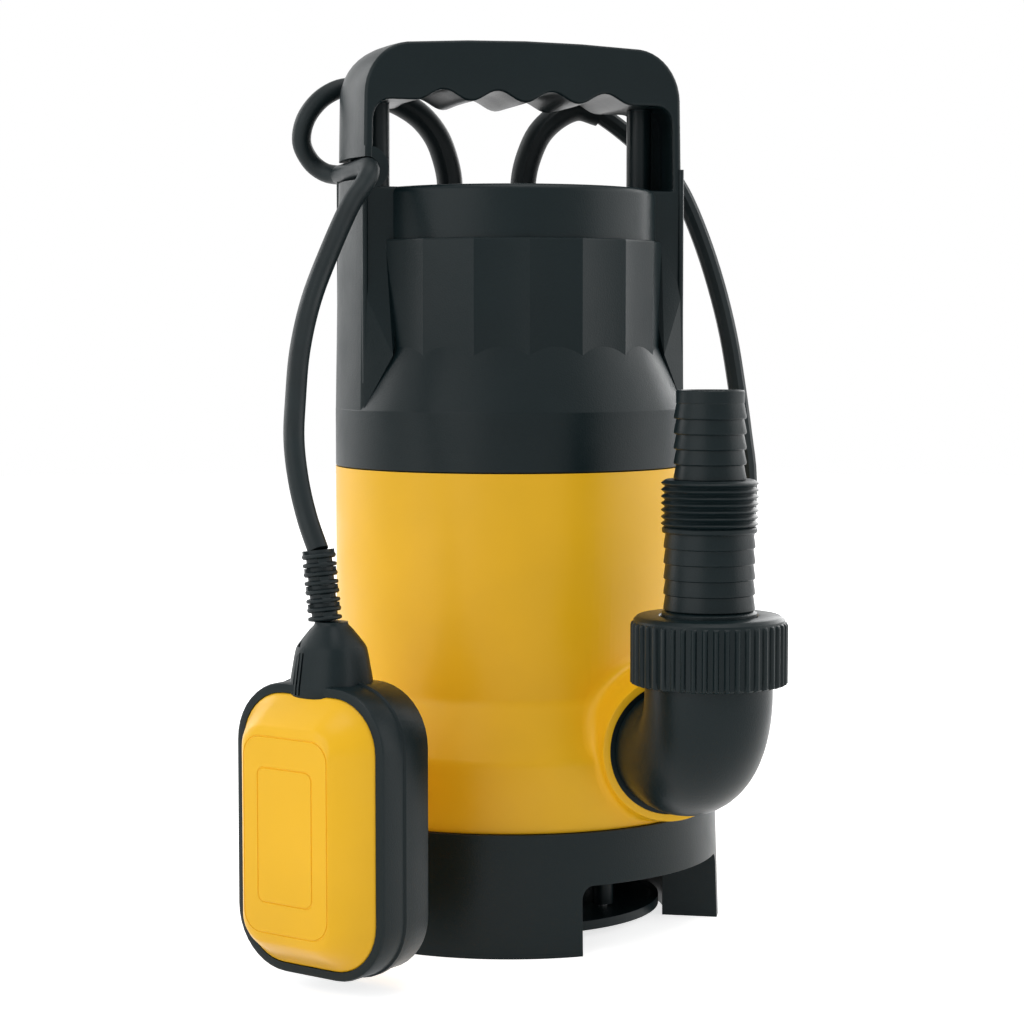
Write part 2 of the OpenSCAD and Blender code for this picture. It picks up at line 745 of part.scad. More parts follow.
// Channel for the float cable, open towards the side
module clip_channel() {
    translate([-clip_x, -handle_half - cut, clip_z]) {
        along_y(clip_r, handle_depth + 2 * cut, $fn = 64);
        translate([-casing_r, 0, -clip_r]) cube([casing_r, handle_depth + 2 * cut, 2 * clip_r]);
    }
}

module volute_casing() {
    color(black) difference() {
        union() {
            translate([0, 0, base_h]) cylinder(r = chamber_r + volute_wall, h = volute_h, $fn = 128);
            translate([outlet_x, -boss_reach + flange_inset, outlet_z]) {
                along_y(tube_r, boss_reach - 14, $fn = 96);
                along_y(flange_r, flange_t, $fn = 96);
            }
        }
        translate([0, 0, base_h + volute_wall]) cylinder(r = chamber_r, h = volute_h, $fn = 128);
        translate([0, 0, base_h - cut]) cylinder(r = eye_r, h = volute_wall + 2 * cut, $fn = 96);
        translate([outlet_x, -boss_reach - cut, outlet_z]) along_y(outlet_bore_r, boss_reach - 18, $fn = 96);
    }
}

module seal_plate() {
    color(dark_steel) difference() {
        union() {
            translate([0, 0, volute_z + seat_gap])
                cylinder(r = casing_r - casing_wall - seat_gap, h = seal_plate_t - seat_gap, $fn = 128);
            translate([0, 0, seal_plate_z])
                cylinder(r = bearing_r + bearing_wall, h = bearing_z + bearing_w - seal_plate_z, $fn = 96);
        }
        translate([0, 0, volute_z - cut])
            cylinder(r = seal_seat_r + seat_gap, h = seal_seat_h + cut + 2 * seat_gap, $fn = 64);
        translate([0, 0, volute_z]) cylinder(r = shaft_r + 3, h = bearing_z - volute_z + cut, $fn = 64);
        translate([0, 0, bearing_z]) cylinder(r = bearing_r + seat_gap, h = bearing_w + cut, $fn = 96);
        translate([0, 0, volute_z + seal_plate_t / 2 - seal_ring_h / 2 - seat_gap])
            ring(casing_r, casing_r - casing_wall - seat_gap - 1.2, seal_ring_h + 2 * seat_gap, $fn = 128);
        for (i = [0:3]) rotate([0, 0, 45 + 90 * i]) translate([bolt_pitch_r, 0, seal_plate_z - 6])
            cylinder(r = bolt_r + seat_gap, h = 6 + cut, $fn = 32);
    }
}

module seal_plate_ring() {
    ring_r = casing_r - casing_wall - seat_gap;
    color(rubber_black) translate([0, 0, volute_z + seal_plate_t / 2 - seal_ring_h / 2])
        ring(ring_r, ring_r - 1.1, seal_ring_h, $fn = 128);
}

module shaft_seal_seat() {
    color(ivory) translate([0, 0, volute_z + seat_gap]) ring(seal_seat_r, shaft_r + free_gap, seal_seat_h, $fn = 64);
}

module motor_can() {
    color(aluminium_grey) translate([0, 0, seal_plate_z + seat_gap])
        ring(can_r, can_r - can_wall, bracket_z - seal_plate_z - 2 * seat_gap, $fn = 128);
}

module bearing_bracket() {
    color(aluminium_grey) difference() {
        union() {
            translate([0, 0, bracket_z]) cylinder(r = can_r, h = bracket_t, $fn = 128);
            for (i = [0:3]) rotate([0, 0, 45 + 90 * i]) translate([bolt_pitch_r, 0, bracket_z])
                cylinder(r = bolt_r + 2.4, h = bracket_t, $fn = 48);
            translate([0, 0, upper_bearing_z])
                cylinder(r = bearing_r + bearing_wall, h = bracket_top_z - upper_bearing_z, $fn = 96);
        }
        translate([0, 0, upper_bearing_z - cut])
            cylinder(r = bearing_r + seat_gap, h = bearing_w + cut + seat_gap, $fn = 96);
        for (i = [0:3]) rotate([0, 0, 45 + 90 * i]) translate([bolt_pitch_r, 0, bracket_z - cut])
            cylinder(r = bolt_r + seat_gap, h = bracket_t + 2 * cut, $fn = 32);
    }
}

module through_bolts() {
    bolt_l = bracket_top_z - seal_plate_z + 5;
    color(steel) for (i = [0:3]) rotate([0, 0, 45 + 90 * i])
        translate([bolt_pitch_r, 0, bracket_top_z]) mirror([0, 0, 1]) screw(bolt_r, bolt_l, bolt_r * 1.9, 2);
}

module stator_core() {
    color(dark_steel) translate([0, 0, stack_z]) ring(stator_r, rotor_r + air_gap, stack_h, $fn = 128);
}

module stator_windings() {
    mid_r = (rotor_r + stator_r) / 2 + 0.5;
    half = (stator_r - rotor_r) / 2 - 2.5;
    color(copper) for (z = [stack_z - winding_h, stack_top_z]) translate([0, 0, z])
        rotate_extrude($fn = 96) translate([mid_r, winding_h / 2]) round_rect(2 * half, winding_h, 4, $fn = 32);
}

// The two races of a ball bearing that fits the shaft
module outer_race(z) {
    color(steel) translate([0, 0, z]) ring(bearing_r, bearing_r - race_t, bearing_w, $fn = 96);
}

module inner_race(z) {
    color(steel) translate([0, 0, z]) ring(shaft_r + race_t, shaft_r + run_gap, bearing_w, $fn = 96);
}

module lower_bearing_outer() {
    outer_race(bearing_z);
}

module upper_bearing_outer() {
    outer_race(upper_bearing_z);
}

module lower_bearing_inner() {
    inner_race(bearing_z);
}

module upper_bearing_inner() {
    inner_race(upper_bearing_z);
}

module bearing_balls() {
    color(steel) for (z = [bearing_z, upper_bearing_z], i = [0:ball_count - 1])
        rotate([0, 0, 360 * i / ball_count]) translate([ball_mid_r, 0, z + bearing_w / 2])
            sphere(r = bearing_ball_r, $fn = 32);
}

module capacitor() {
    color(aluminium_grey) translate([capacitor_x, 0, bracket_top_z + seat_gap]) {
        cylinder(r = capacitor_r, h = capacitor_h, $fn = 64);
        for (y = [-4, 4]) translate([-1, y - 3, capacitor_h - cut]) cube([2, 6, 6 + cut]);
    }
}

module terminal_block() {
    color(ivory) translate([14, -12, bracket_top_z + seat_gap]) difference() {
        cube([16, 24, 14]);
        for (y = [4, 12, 20]) translate([8, y, 6]) cylinder(r = 2, h = 14, $fn = 24);
    }
}

module thermal_protector() {
    color(black) translate([(rotor_r + stator_r) / 2, -6, stack_top_z + winding_h + seat_gap]) cube([7, 12, 3]);
}

module gland(x) {
    color(black) translate([x, gland_y, crown_z]) difference() {
        union() {
            cylinder(r = sleeve_r + 3.6, h = gland_h - 1, $fn = 6);
            cylinder(r = sleeve_r + 1.8, h = gland_h, $fn = 48);
        }
        translate([0, 0, -cut]) cylinder(r = sleeve_r + 0.2, h = gland_h + 2 * cut, $fn = 48);
    }
}

module power_cable_gland() {
    gland(gland_x);
}

module float_cable_gland() {
    gland(-gland_x);
}

module power_cable_sleeve() {
    color(rubber_black) cable(power_sleeve_route, sleeve_r, 12);
}

module float_cable_sleeve() {
    color(rubber_black) cable(float_sleeve_route, sleeve_r, 12);
}

module power_cord() {
    color(rubber_black) cable(power_route, cord_r);
}

module power_cord_coil() {
    color(rubber_black) translate([coil_x, coil_y, 0]) rotate_extrude($fn = 96)
        translate([coil_r, coil_half]) round_rect(2 * coil_half, 2 * coil_half, 2 * cord_r, $fn = 32);
}

module power_cord_tail() {
    color(rubber_black) cable(tail_route, cord_r);
}

module plug_body() {
    color(rubber_black) translate([plug_x, plug_y, plug_h / 2]) rotate([0, 90, 0]) {
        linear_extrude(plug_l * 0.55) round_rect(plug_h, plug_w, 5, $fn = 32);
        translate([0, 0, plug_l * 0.55 - cut])
            cylinder(r1 = plug_h / 2 - 1, r2 = cord_r + 2, h = plug_l * 0.45 + cut, $fn = 48);
    }
}

module plug_pins() {
    color(steel) translate([plug_x, plug_y, plug_h / 2]) {
        for (y = [-6.35, 6.35]) translate([-blade_pin_l, y - 0.75, -5]) cube([blade_pin_l, 1.5, 6.3]);
        translate([-blade_pin_l - 2, 0, 6.5]) rotate([0, 90, 0]) cylinder(r = 2.4, h = blade_pin_l + 2, $fn = 32);
    }
}

module float_cable_upper() {
    color(rubber_black) cable(float_upper_route, float_cable_r);
}

module shaft() {
    color(steel) difference() {
        union() {
            translate([0, 0, impeller_top_z - impeller_disc_t - blade_h - impeller_nut_h])
                cylinder(r = shaft_r - 1.5, h = impeller_nut_h + blade_h, $fn = 48);
            translate([0, 0, impeller_top_z - blade_h])
                cylinder(r = shaft_r, h = shaft_top_z - impeller_top_z + blade_h, $fn = 64);
            translate([0, 0, bearing_z + bearing_w + seat_gap])
                cylinder(r = thick_r, h = upper_bearing_z - bearing_z - bearing_w - 2 * seat_gap, $fn = 64);
        }
        translate([0, 0, impeller_top_z - impeller_disc_t - blade_h - impeller_nut_h - cut])
            cylinder(r = 1, h = 3 + cut, $fn = 24);
    }
}

module rotor_core() {
    color(dark_steel) translate([0, 0, stack_z]) ring(rotor_r, thick_r + run_gap, stack_h, $fn = 128);
}

module rotor_end_rings() {
    color(aluminium_grey) for (z = [stack_z - end_ring_h - run_gap, stack_top_z + run_gap]) translate([0, 0, z])
        ring(rotor_r - 1, thick_r + run_gap, end_ring_h, $fn = 96);
}

module shaft_seal_head() {
    color(rubber_black) translate([0, 0, impeller_top_z + impeller_disc_t / 2 + run_gap])
        ring(seal_head_r, shaft_r + run_gap, volute_z - impeller_top_z - impeller_disc_t / 2 - free_gap, $fn = 64);
}

// Vortex impeller: blades hang below a disc
module impeller() {
    hub_z = impeller_top_z - impeller_disc_t - blade_h;
    color(black) difference() {
        union() {
            translate([0, 0, hub_z]) linear_extrude(blade_h + impeller_disc_t / 3) {
                circle(r = impeller_hub_r, $fn = 64);
                for (i = [0:blade_count - 1]) rotate(360 * i / blade_count) blade();
            }
            translate([0, 0, impeller_top_z - impeller_disc_t]) cylinder(r = impeller_r, h = impeller_disc_t, $fn = 96);
            translate([0, 0, impeller_top_z - impeller_disc_t / 3])
                cylinder(r = impeller_hub_r, h = impeller_disc_t * 5 / 6, $fn = 64);
        }
        translate([0, 0, hub_z - cut])
            cylinder(r = shaft_r + run_gap, h = blade_h + 2 * impeller_disc_t + 2 * cut, $fn = 64);
    }
}

// Outline of one blade, bent to an arc that passes through the axis
module blade() {
    curve_r = impeller_r * 0.7;
    intersection() {
        translate([curve_r, 0]) difference() {
            circle(r = curve_r + blade_t / 2, $fn = 96);
            circle(r = curve_r - blade_t / 2, $fn = 96);
        }
        difference() {
            circle(r = impeller_r - 0.5, $fn = 96);
            circle(r = impeller_hub_r - cut, $fn = 64);
            translate([-impeller_r, -2 * impeller_r]) square([3 * impeller_r, 2 * impeller_r]);
        }
    }
}

module impeller_nut() {
    color(steel) translate([0, 0, impeller_top_z - impeller_disc_t - blade_h - impeller_nut_h]) difference() {
        cylinder(r = shaft_r + 2, h = impeller_nut_h - seat_gap, $fn = 6);
        translate([0, 0, -cut]) cylinder(r = shaft_r - 1.5 + run_gap, h = impeller_nut_h + 2 * cut, $fn = 48);
    }
}

// Spigot and neck on the outlet's axis, quarter bend, and riser with its outside thread
module discharge_elbow() {
    bore = elbow_r - elbow_wall;
    groove = spigot_l / 2 - seat_gap;
    color(black) {
        translate([outlet_x, -boss_reach, outlet_z]) rotate([-90, 0, 0]) rotate_extrude($fn = 96) polygon([
            [bore, -elbow_neck], [elbow_r, -elbow_neck], [elbow_r, 0], [spigot_r, 0], [spigot_r, groove],
            [spigot_r - 1.5, groove], [spigot_r - 1.5, groove + seal_ring_h + 2 * seat_gap],
            [spigot_r, groove + seal_ring_h + 2 * seat_gap], [spigot_r, spigot_l],
            [spigot_r - elbow_wall, spigot_l], [spigot_r - elbow_wall, -2], [bore, -elbow_wall]
        ]);
        translate([outlet_x, riser_y + bend_r, riser_z]) rotate([0, 90, 0]) rotate([0, 0, -90])
            rotate_extrude(angle = 90, $fn = 96) translate([bend_r, 0]) difference() {
                circle(r = elbow_r, $fn = 96);
                circle(r = bore, $fn = 96);
            }
        translate([outlet_x, riser_y, 0]) rotate_extrude($fn = 96) polygon([
            [bore, riser_z], [elbow_r, riser_z], [elbow_r, thread_z], [riser_thread_r, thread_z],
            [riser_thread_r, riser_top_z], [bore, riser_top_z]
        ]);
    }
}

module elbow_seal() {
    color(rubber_black) translate([outlet_x, -boss_reach + spigot_l / 2, outlet_z]) rotate([-90, 0, 0])
        ring(outlet_bore_r - free_gap, spigot_r - 1.4, seal_ring_h, $fn = 96);
}

module adapter_gasket() {
    color(rubber_black) translate([outlet_x, riser_y, riser_top_z])
        ring(adapter_flange_r, elbow_r - elbow_wall + 0.5, gasket_t, $fn = 96);
}

// Saw-tooth outline of hose barbs, upwards from z
function barbs(z, r, pitch, count) = [
    for (i = [0:count - 1]) each [[r, z + i * pitch], [r - barb_step, z + (i + 1) * pitch - 0.01]]
];

function threads(z, r, pitch, count) = [
    for (i = [0:count - 1]) each [
        [r - thread_depth, z + i * pitch], [r, z + (i + 0.4) * pitch], [r, z + (i + 0.6) * pitch]
    ]
];

module hose_adapter() {
    color(black) translate([outlet_x, riser_y, 0]) rotate_extrude($fn = 96) polygon(concat(
        [[elbow_r - elbow_wall, adapter_z], [adapter_flange_r, adapter_z],
         [adapter_flange_r, adapter_z + adapter_flange_t], [adapter_neck_r, adapter_z + adapter_flange_t],
         [adapter_neck_r, low_barb_z - 1], [low_barb_r - barb_step, low_barb_z]],
        barbs(low_barb_z, low_barb_r, low_barb_pitch, low_barbs),
        [[thread_r + 0.5, thread_z0], [thread_r + 0.5, thread_z0 + thread_collar_h]],
        threads(thread_z0 + thread_collar_h, thread_r, thread_pitch, thread_ridges),
        [[thread_r - thread_depth, top_barb_z], [top_barb_r - barb_step, top_barb_z]],
        barbs(top_barb_z, top_barb_r, top_barb_pitch, top_barbs),
        [[lead_r, lead_z], [lead_r, adapter_top_z], [bore_r, adapter_top_z],
         [bore_r, thread_z0 + thread_collar_h], [low_barb_r - barb_step - 2.4, thread_z0],
         [low_barb_r - barb_step - 2.4, adapter_z + adapter_flange_t + 3]]
    ));
}

module union_nut() {
    rib_r = 0.95;
    rib_top_z = nut_top_z - nut_lip_t + 0.8;
    color(black) translate([outlet_x, riser_y, 0]) {
        translate([0, 0, nut_z]) linear_extrude(rib_top_z - nut_z) difference() {
            union() {
                circle(r = nut_r - 1, $fn = 128);
                for (i = [0:nut_ribs - 1]) rotate(360 * i / nut_ribs) translate([nut_r - rib_r, 0]) circle(r = rib_r, $fn = 24);
            }
            circle(r = riser_thread_r + run_gap, $fn = 128);
        }
        rotate_extrude($fn = 128) polygon([
            [adapter_neck_r + free_gap, nut_top_z - nut_lip_t], [nut_r - 1.5, nut_top_z - nut_lip_t],
            [nut_r - 1.5, nut_top_z - 1.2], [nut_r - 2.5, nut_top_z], [adapter_neck_r + free_gap, nut_top_z]
        ]);
    }
}

// Puts the float's own frame in its place
module float_frame_place() {
    translate([float_x, float_y, float_mid_z]) rotate([0, 0, float_turn]) children();
}

// Extrudes an outline drawn in the float's front view, from depth a towards depth b behind it
module float_slab(a, b) {
    translate([0, b, 0]) rotate([90, 0, 0]) linear_extrude(b - a) children();
}

module float_frame() {
    color(black) float_frame_place() difference() {
        union() {
            float_slab(-float_t / 2 + 1, float_t / 2 - 1) round_rect(float_w, float_h, float_round, $fn = 64);
            float_slab(-float_t / 2, float_t / 2) round_rect(float_w - 2, float_h - 2, float_round - 1, $fn = 64);
        }
        float_slab(-float_t, float_t) round_rect(
            float_w - 2 * frame_w, float_h - 2 * frame_w, float_round - frame_w, $fn = 64);
        translate([0, 0, float_h / 2 - frame_w - cut]) cylinder(r = float_cable_r + seat_gap, h = frame_w + 2 * cut, $fn = 32);
    }
}

// One yellow half shell of the float, in front of its middle plane
module half_shell() {
    gap = frame_w + seat_gap;
    difference() {
        union() {
            float_slab(-float_t / 2 - shell_lift, -seat_gap / 2)
                round_rect(float_w - 2 * gap, float_h - 2 * gap, float_round - gap, $fn = 64);
            shell_crown(gap, 0);
        }
        float_slab(-float_t / 2 - shell_lift, cut) round_rect(
            float_w - 2 * gap - 2 * shell_wall, float_h - 2 * gap - 2 * shell_wall,
            float_round - gap - shell_wall, $fn = 64);
        shell_crown(gap, shell_wall);
    }
}

// Crown of a half shell, whose flat field stands out past the frame, set in by a wall
module shell_crown(gap, inset) {
    margin = [0, crown_margin * 0.42, crown_margin];
    rise = [0, crown_rise * 0.74, crown_rise];
    for (i = [0:1]) hull() for (k = [i, i + 1]) {
        w = float_w - 2 * gap - 2 * margin[k] - 2 * inset;
        corner = max(float_round - gap - margin[k] - inset, 5);
        y = -float_t / 2 - shell_lift - rise[k] + inset * (k == 0 ? 0 : 1);
        float_slab(y, y + 0.05) round_rect(w, w + float_h - float_w, corner, $fn = 32);
    }
}

module float_front_shell() {
    color(yellow) float_frame_place() half_shell();
}

module float_rear_shell() {
    track_r = ball_r + free_gap + track_wall;
    track_l = ball_travel + 2 * ball_r + 2 * free_gap;
    color(yellow) float_frame_place() {
        mirror([0, 1, 0]) half_shell();
        difference() {
            union() {
                translate([0, 0, ball_low_z - ball_r - free_gap - track_wall])
                    cylinder(r = track_r, h = track_l + track_wall, $fn = 48);
                translate([-1.2, 0, ball_low_z]) cube([2.4, field_y - shell_wall + 0.1, track_l - ball_r - 2]);
            }
            translate([0, 0, ball_low_z - ball_r - free_gap])
                cylinder(r = ball_r + free_gap, h = track_l + cut, $fn = 48);
        }
    }
}

module float_ball() {
    color(steel) float_frame_place() translate([0, 0, ball_low_z]) sphere(r = ball_r, $fn = 48);
}

module float_switch() {
    color(dark_steel) float_frame_place() difference() {
        translate([-10, -5, switch_z]) cube([20, field_y - shell_wall + 5 - seat_gap, 11]);
        translate([0, 0, switch_z - cut]) cylinder(r = plunger_r + run_gap, h = plunger_l + cut, $fn = 32);
    }
}

module float_switch_plunger() {
    color(ivory) float_frame_place() translate([0, 0, switch_z - plunger_l / 2])
        cylinder(r = plunger_r, h = plunger_l, $fn = 32);
}

module float_collar() {
    color(black) float_frame_place() intersection() {
        translate([0, 0, float_h / 2 + seat_gap]) rotate_extrude($fn = 96) polygon([
            [0, 0], [collar_low_r, 0], [collar_low_r, 3], [collar_top_r, collar_h * 0.72],
            [collar_neck_r, collar_h - 2.5], [collar_neck_r, collar_h - seat_gap], [0, collar_h - seat_gap]
        ]);
        translate([-collar_low_r, -collar_t / 2, float_h / 2]) cube([2 * collar_low_r, collar_t, collar_h]);
    }
}

// Ribbed strain relief between the collar and the cable
module float_bellows() {
    axis = bellows_top - bellows_low;
    l = norm(axis);
    pitch = l / bellows_rings;
    color(black) translate(bellows_low)
        rotate([0, acos(axis[2] / l), atan2(axis[1], axis[0])]) rotate_extrude($fn = 64) polygon(concat(
            [[0, 0]],
            [for (i = [0:bellows_rings - 1]) each [
                [bellows_r, i * pitch], [bellows_r, (i + 0.55) * pitch],
                [bellows_core_r, (i + 0.6) * pitch], [bellows_core_r, (i + 0.98) * pitch]
            ]],
            [[0, l * 0.995]]
        ));
}

// Starts with a ball-shaped nose, whose middle is the float's pivot
module float_cable_lower() {
    back = heading(float_lower_route, 0) * float_cable_r;
    nose = [75, 50, 25];
    color(rubber_black) cable(
        concat([for (a = nose) float_lower_route[0] - back * sin(a)], float_lower_route),
        float_cable_r, first_r = [for (a = nose) float_cable_r * cos(a)]);
}

base_strainer();
suction_plate();
suction_plate_screws();
base_screws();
outer_casing();
top_cover();
cover_seal();
volute_casing();
seal_plate();
seal_plate_ring();
shaft_seal_seat();
motor_can();
bearing_bracket();
through_bolts();
stator_core();
stator_windings();
lower_bearing_outer();
upper_bearing_outer();
bearing_balls();
capacitor();
terminal_block();
thermal_protector();
power_cable_gland();
float_cable_gland();
power_cable_sleeve();
float_cable_sleeve();
power_cord();
power_cord_coil();
power_cord_tail();
plug_body();
plug_pins();
float_cable_upper();
shaft();
rotor_core();
rotor_end_rings();
lower_bearing_inner();
upper_bearing_inner();
shaft_seal_head();
impeller();
impeller_nut();
discharge_elbow();
elbow_seal();
adapter_gasket();
hose_adapter();
union_nut();
float_cable_lower();
float_bellows();
float_collar();
float_frame();
float_front_shell();
float_rear_shell();
float_switch();
float_switch_plunger();
float_ball();
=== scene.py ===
import json
import math

import bmesh
import bpy
from mathutils import Matrix, Vector
from mathutils.kdtree import KDTree


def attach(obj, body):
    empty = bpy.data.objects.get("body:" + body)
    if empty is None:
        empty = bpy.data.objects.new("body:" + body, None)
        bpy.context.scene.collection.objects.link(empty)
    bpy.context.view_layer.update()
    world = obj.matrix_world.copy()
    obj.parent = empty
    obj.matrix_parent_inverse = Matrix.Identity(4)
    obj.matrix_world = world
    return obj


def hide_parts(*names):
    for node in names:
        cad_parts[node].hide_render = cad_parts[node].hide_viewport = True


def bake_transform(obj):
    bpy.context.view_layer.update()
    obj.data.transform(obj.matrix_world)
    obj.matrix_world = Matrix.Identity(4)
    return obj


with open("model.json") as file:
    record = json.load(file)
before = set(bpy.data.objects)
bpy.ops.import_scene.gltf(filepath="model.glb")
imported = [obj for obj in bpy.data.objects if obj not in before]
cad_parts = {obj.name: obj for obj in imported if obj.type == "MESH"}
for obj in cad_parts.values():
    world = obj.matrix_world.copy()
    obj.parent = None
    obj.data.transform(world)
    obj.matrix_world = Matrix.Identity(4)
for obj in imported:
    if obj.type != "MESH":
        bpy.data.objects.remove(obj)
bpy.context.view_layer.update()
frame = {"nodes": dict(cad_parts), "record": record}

# All lengths below are millimetres until MM makes them metres.
MM = 0.001
FRONT_HALF = 20.5
CASING_R = 66
COLUMN_R = 57.5
CROWN_R = 54.7
CROWN_Z = 274.2
COLUMN_TOP = 255
BAND_Z = 192.7
CONE_Z = 212.8
CASING_TOP = 171
BASE_TOP = 44
OUTLET = (36.5, -80, 73)
RISER = (36.5, -114, 98)
HANDLE_TOP = 328.2
BAR_Z = 305.7
CLIP = (-60.2, 0, 280.8)
FLOAT_AT = (-91, -92.5, 54.8)
FLOAT_TURN = math.radians(-53)
FLOAT_W, FLOAT_H = 64, 98.4


# ---- Camera ----

def add_camera():
    """The camera looks at the pump's left front, a little down."""
    turn = math.radians(-17)
    distance, height, aim_height = 0.950, 0.221, 0.1529
    back = Vector((math.sin(turn), -math.cos(turn), 0))
    right = Vector((math.cos(turn), math.sin(turn), 0))
    data = bpy.data.cameras.new("camera")
    camera = bpy.data.objects.new("camera", data)
    bpy.context.scene.collection.objects.link(camera)
    data.lens = 87.9
    data.sensor_width = 36
    camera.location = back * distance + Vector((0, 0, height))
    aim = Vector((0, 0, aim_height)) + right * 0.0008
    camera.rotation_mode = "QUATERNION"
    camera.rotation_quaternion = (aim - camera.location).to_track_quat("-Z", "Y")
    bpy.context.scene.camera = camera


add_camera()


# ---- Cords ----

CORD_D = 7.2
FLOAT_CABLE_D = 7.3
COIL_X, COIL_Y, COIL_R = 50, 168, 64.5
COIL_TURNS_ACROSS = 5

power_route = [
    (46, 30.5, 307), (54, 29.5, 301.5), (63, 28, 294), (71, 25.5, 286), (78, 23, 276),
    (85, 20.5, 259), (91, 18.5, 240), (96, 17.5, 220), (99.5, 17, 200), (102, 16, 181),
    (104, 15.5, 163), (105, 20, 140), (106, 28, 118), (107.5, 40, 96), (110, 55, 76),
    (113, 73, 59), (116.5, 94, 45.5), (120.5, 117, 36.5),
]
power_sleeve_route = [
    (15, 31, 271.2), (15, 31, 280.2), (17, 31, 289), (21.5, 31, 298.5), (29, 31, 305.5),
    (37.5, 31, 309), (46, 30.5, 307),
]
float_sleeve_route = [
    (-15, 31, 271.2), (-15, 31, 280.2), (-17, 31, 289), (-20.5, 31, 297), (-26.5, 31, 304),
    (-34.5, 31, 309), (-43, 30.5, 312),
]
float_route = [
    (-43, 30.5, 312), (-51, 29, 314), (-59, 27, 313.5), (-67, 26.5, 309), (-72.5, 27.5, 301.5),
    (-73.5, 30, 293), (-69.5, 32, 286), (-64.5, 30.5, 282), (-60.2, 26, 280.8),
    (-60.2, 20.5, 280.8), (-60.2, 0, 280.8), (-60.2, -20.5, 280.8), (-61.2, -27, 278.2),
    (-64.5, -30, 273), (-70, -33.5, 266), (-79, -41, 250), (-87.5, -48.5, 232.5),
    (-93.5, -57, 215), (-97, -65.5, 198), (-99, -72, 184.5), (-98.7, -77.5, 171),
    (-97, -83.2, 158.5), (-94.4, -88.2, 148),
]


# Where on the coil, in degrees, the cord arrives, first steps across, and leaves.
COIL_START, FIRST_STEP_AT, COIL_LEAVE = -20.0, 280, -35
STEP_TURN, DEGREES_PER_POINT = 60, 15


def coil_route():
    """The coil's turns, and the radius of the last one.

    Each layer steps across in one sector, and the cord climbs down to the next in the sector before it.
    """
    turn = COIL_START
    row_r = COIL_R + (COIL_TURNS_ACROSS - 1) / 2 * CORD_D
    height = (COIL_TURNS_ACROSS - 0.5) * CORD_D
    points = []

    def place(degrees, r, z):
        a = math.radians(degrees)
        return COIL_X + r * math.cos(a), COIL_Y + r * math.sin(a), z

    def go(degrees, to_r, to_z):
        nonlocal turn, row_r, height
        steps = max(1, round(degrees / DEGREES_PER_POINT))
        for i in range(1, steps + 1):
            share = i / steps
            ease = share * share * (3 - 2 * share)
            r = row_r + (to_r - row_r) * ease
            points.append(place(turn + degrees * share, r, height + (to_z - height) * ease))
        turn, row_r, height = turn + degrees, to_r, to_z

    points.append(place(turn, row_r, height))
    step_at = FIRST_STEP_AT
    for layer in range(COIL_TURNS_ACROSS):
        side = -1 if layer % 2 == 0 else 1
        for _ in range(COIL_TURNS_ACROSS - 1):
            go((step_at - turn) % 360 or 360, row_r, height)
            go(STEP_TURN, row_r + side * CORD_D, height)
        if layer < COIL_TURNS_ACROSS - 1:
            go((step_at - STEP_TURN - turn) % 360, row_r, height)
            go(STEP_TURN, row_r, height - CORD_D)
            step_at -= 2 * STEP_TURN
    go((COIL_LEAVE - turn) % 360, row_r, height)
    return points, row_r


TAIL_BEND_R, TAIL_POINTS = 28, 9
PLUG_H = 22


def tail_route(inner_r):
    """From the coil's inner turn back to the plug."""
    turn = math.radians(COIL_LEAVE)
    cx = COIL_X + (inner_r - TAIL_BEND_R) * math.cos(turn)
    cy = COIL_Y + (inner_r - TAIL_BEND_R) * math.sin(turn)
    points = []
    for i in range(1, TAIL_POINTS + 1):
        share = i / TAIL_POINTS
        a = turn + (math.pi / 2 - turn) * share
        lift = (1 - math.cos(math.pi * share)) / 2
        points.append((cx + TAIL_BEND_R * math.cos(a), cy + TAIL_BEND_R * math.sin(a),
                       CORD_D / 2 + (PLUG_H / 2 - CORD_D / 2) * lift))
    return points


def smooth_points(route, per_span=4):
    """Points of a smooth curve through a route."""
    pts = [Vector(p) for p in route]
    pts = [2 * pts[0] - pts[1]] + pts + [2 * pts[-1] - pts[-2]]
    made = []
    for i in range(1, len(pts) - 2):
        a, b, c, d = pts[i - 1:i + 3]
        for k in range(per_span):
            t = k / per_span
            made.append(0.5 * (2 * b + (c - a) * t + (2 * a - 5 * b + 4 * c - d) * t ** 2
                               + (3 * b - a - 3 * c + d) * t ** 3))
    made.append(pts[-2])
    return made


def cord_curve(name, points, diameter, roundness=4):
    """A round cord along points, in metres."""
    data = bpy.data.curves.new(name, "CURVE")
    data.dimensions = "3D"
    spline = data.splines.new("POLY")
    spline.points.add(len(points) - 1)
    for point, place in zip(spline.points, points):
        point.co = (*(Vector(place) * MM), 1)
    spline.use_smooth = True
    data.bevel_depth = diameter / 2 * MM
    data.bevel_resolution = roundness
    data.use_fill_caps = True
    piece = bpy.data.objects.new(name, data)
    bpy.context.scene.collection.objects.link(piece)
    return piece


def to_mesh(piece):
    """Makes a curve a mesh."""
    clear()
    bpy.context.view_layer.objects.active = piece
    piece.select_set(True)
    bpy.ops.object.convert(target="MESH")
    return bpy.context.object


def clear():
    """Leaves edit mode with nothing selected."""
    if bpy.context.object and bpy.context.object.mode != "OBJECT":
        bpy.ops.object.mode_set(mode="OBJECT")
    bpy.ops.object.select_all(action="DESELECT")


coil_points, inner_r = coil_route()
power_points = smooth_points(power_route + coil_points[:1])[:-1]
power_points += [Vector(p) for p in coil_points + tail_route(inner_r)]
power_cord = to_mesh(cord_curve("power_cord_run", power_points, CORD_D, 3))
float_points = smooth_points(float_route, 6)
float_cable = to_mesh(cord_curve("float_cable_run", float_points, FLOAT_CABLE_D, 5))

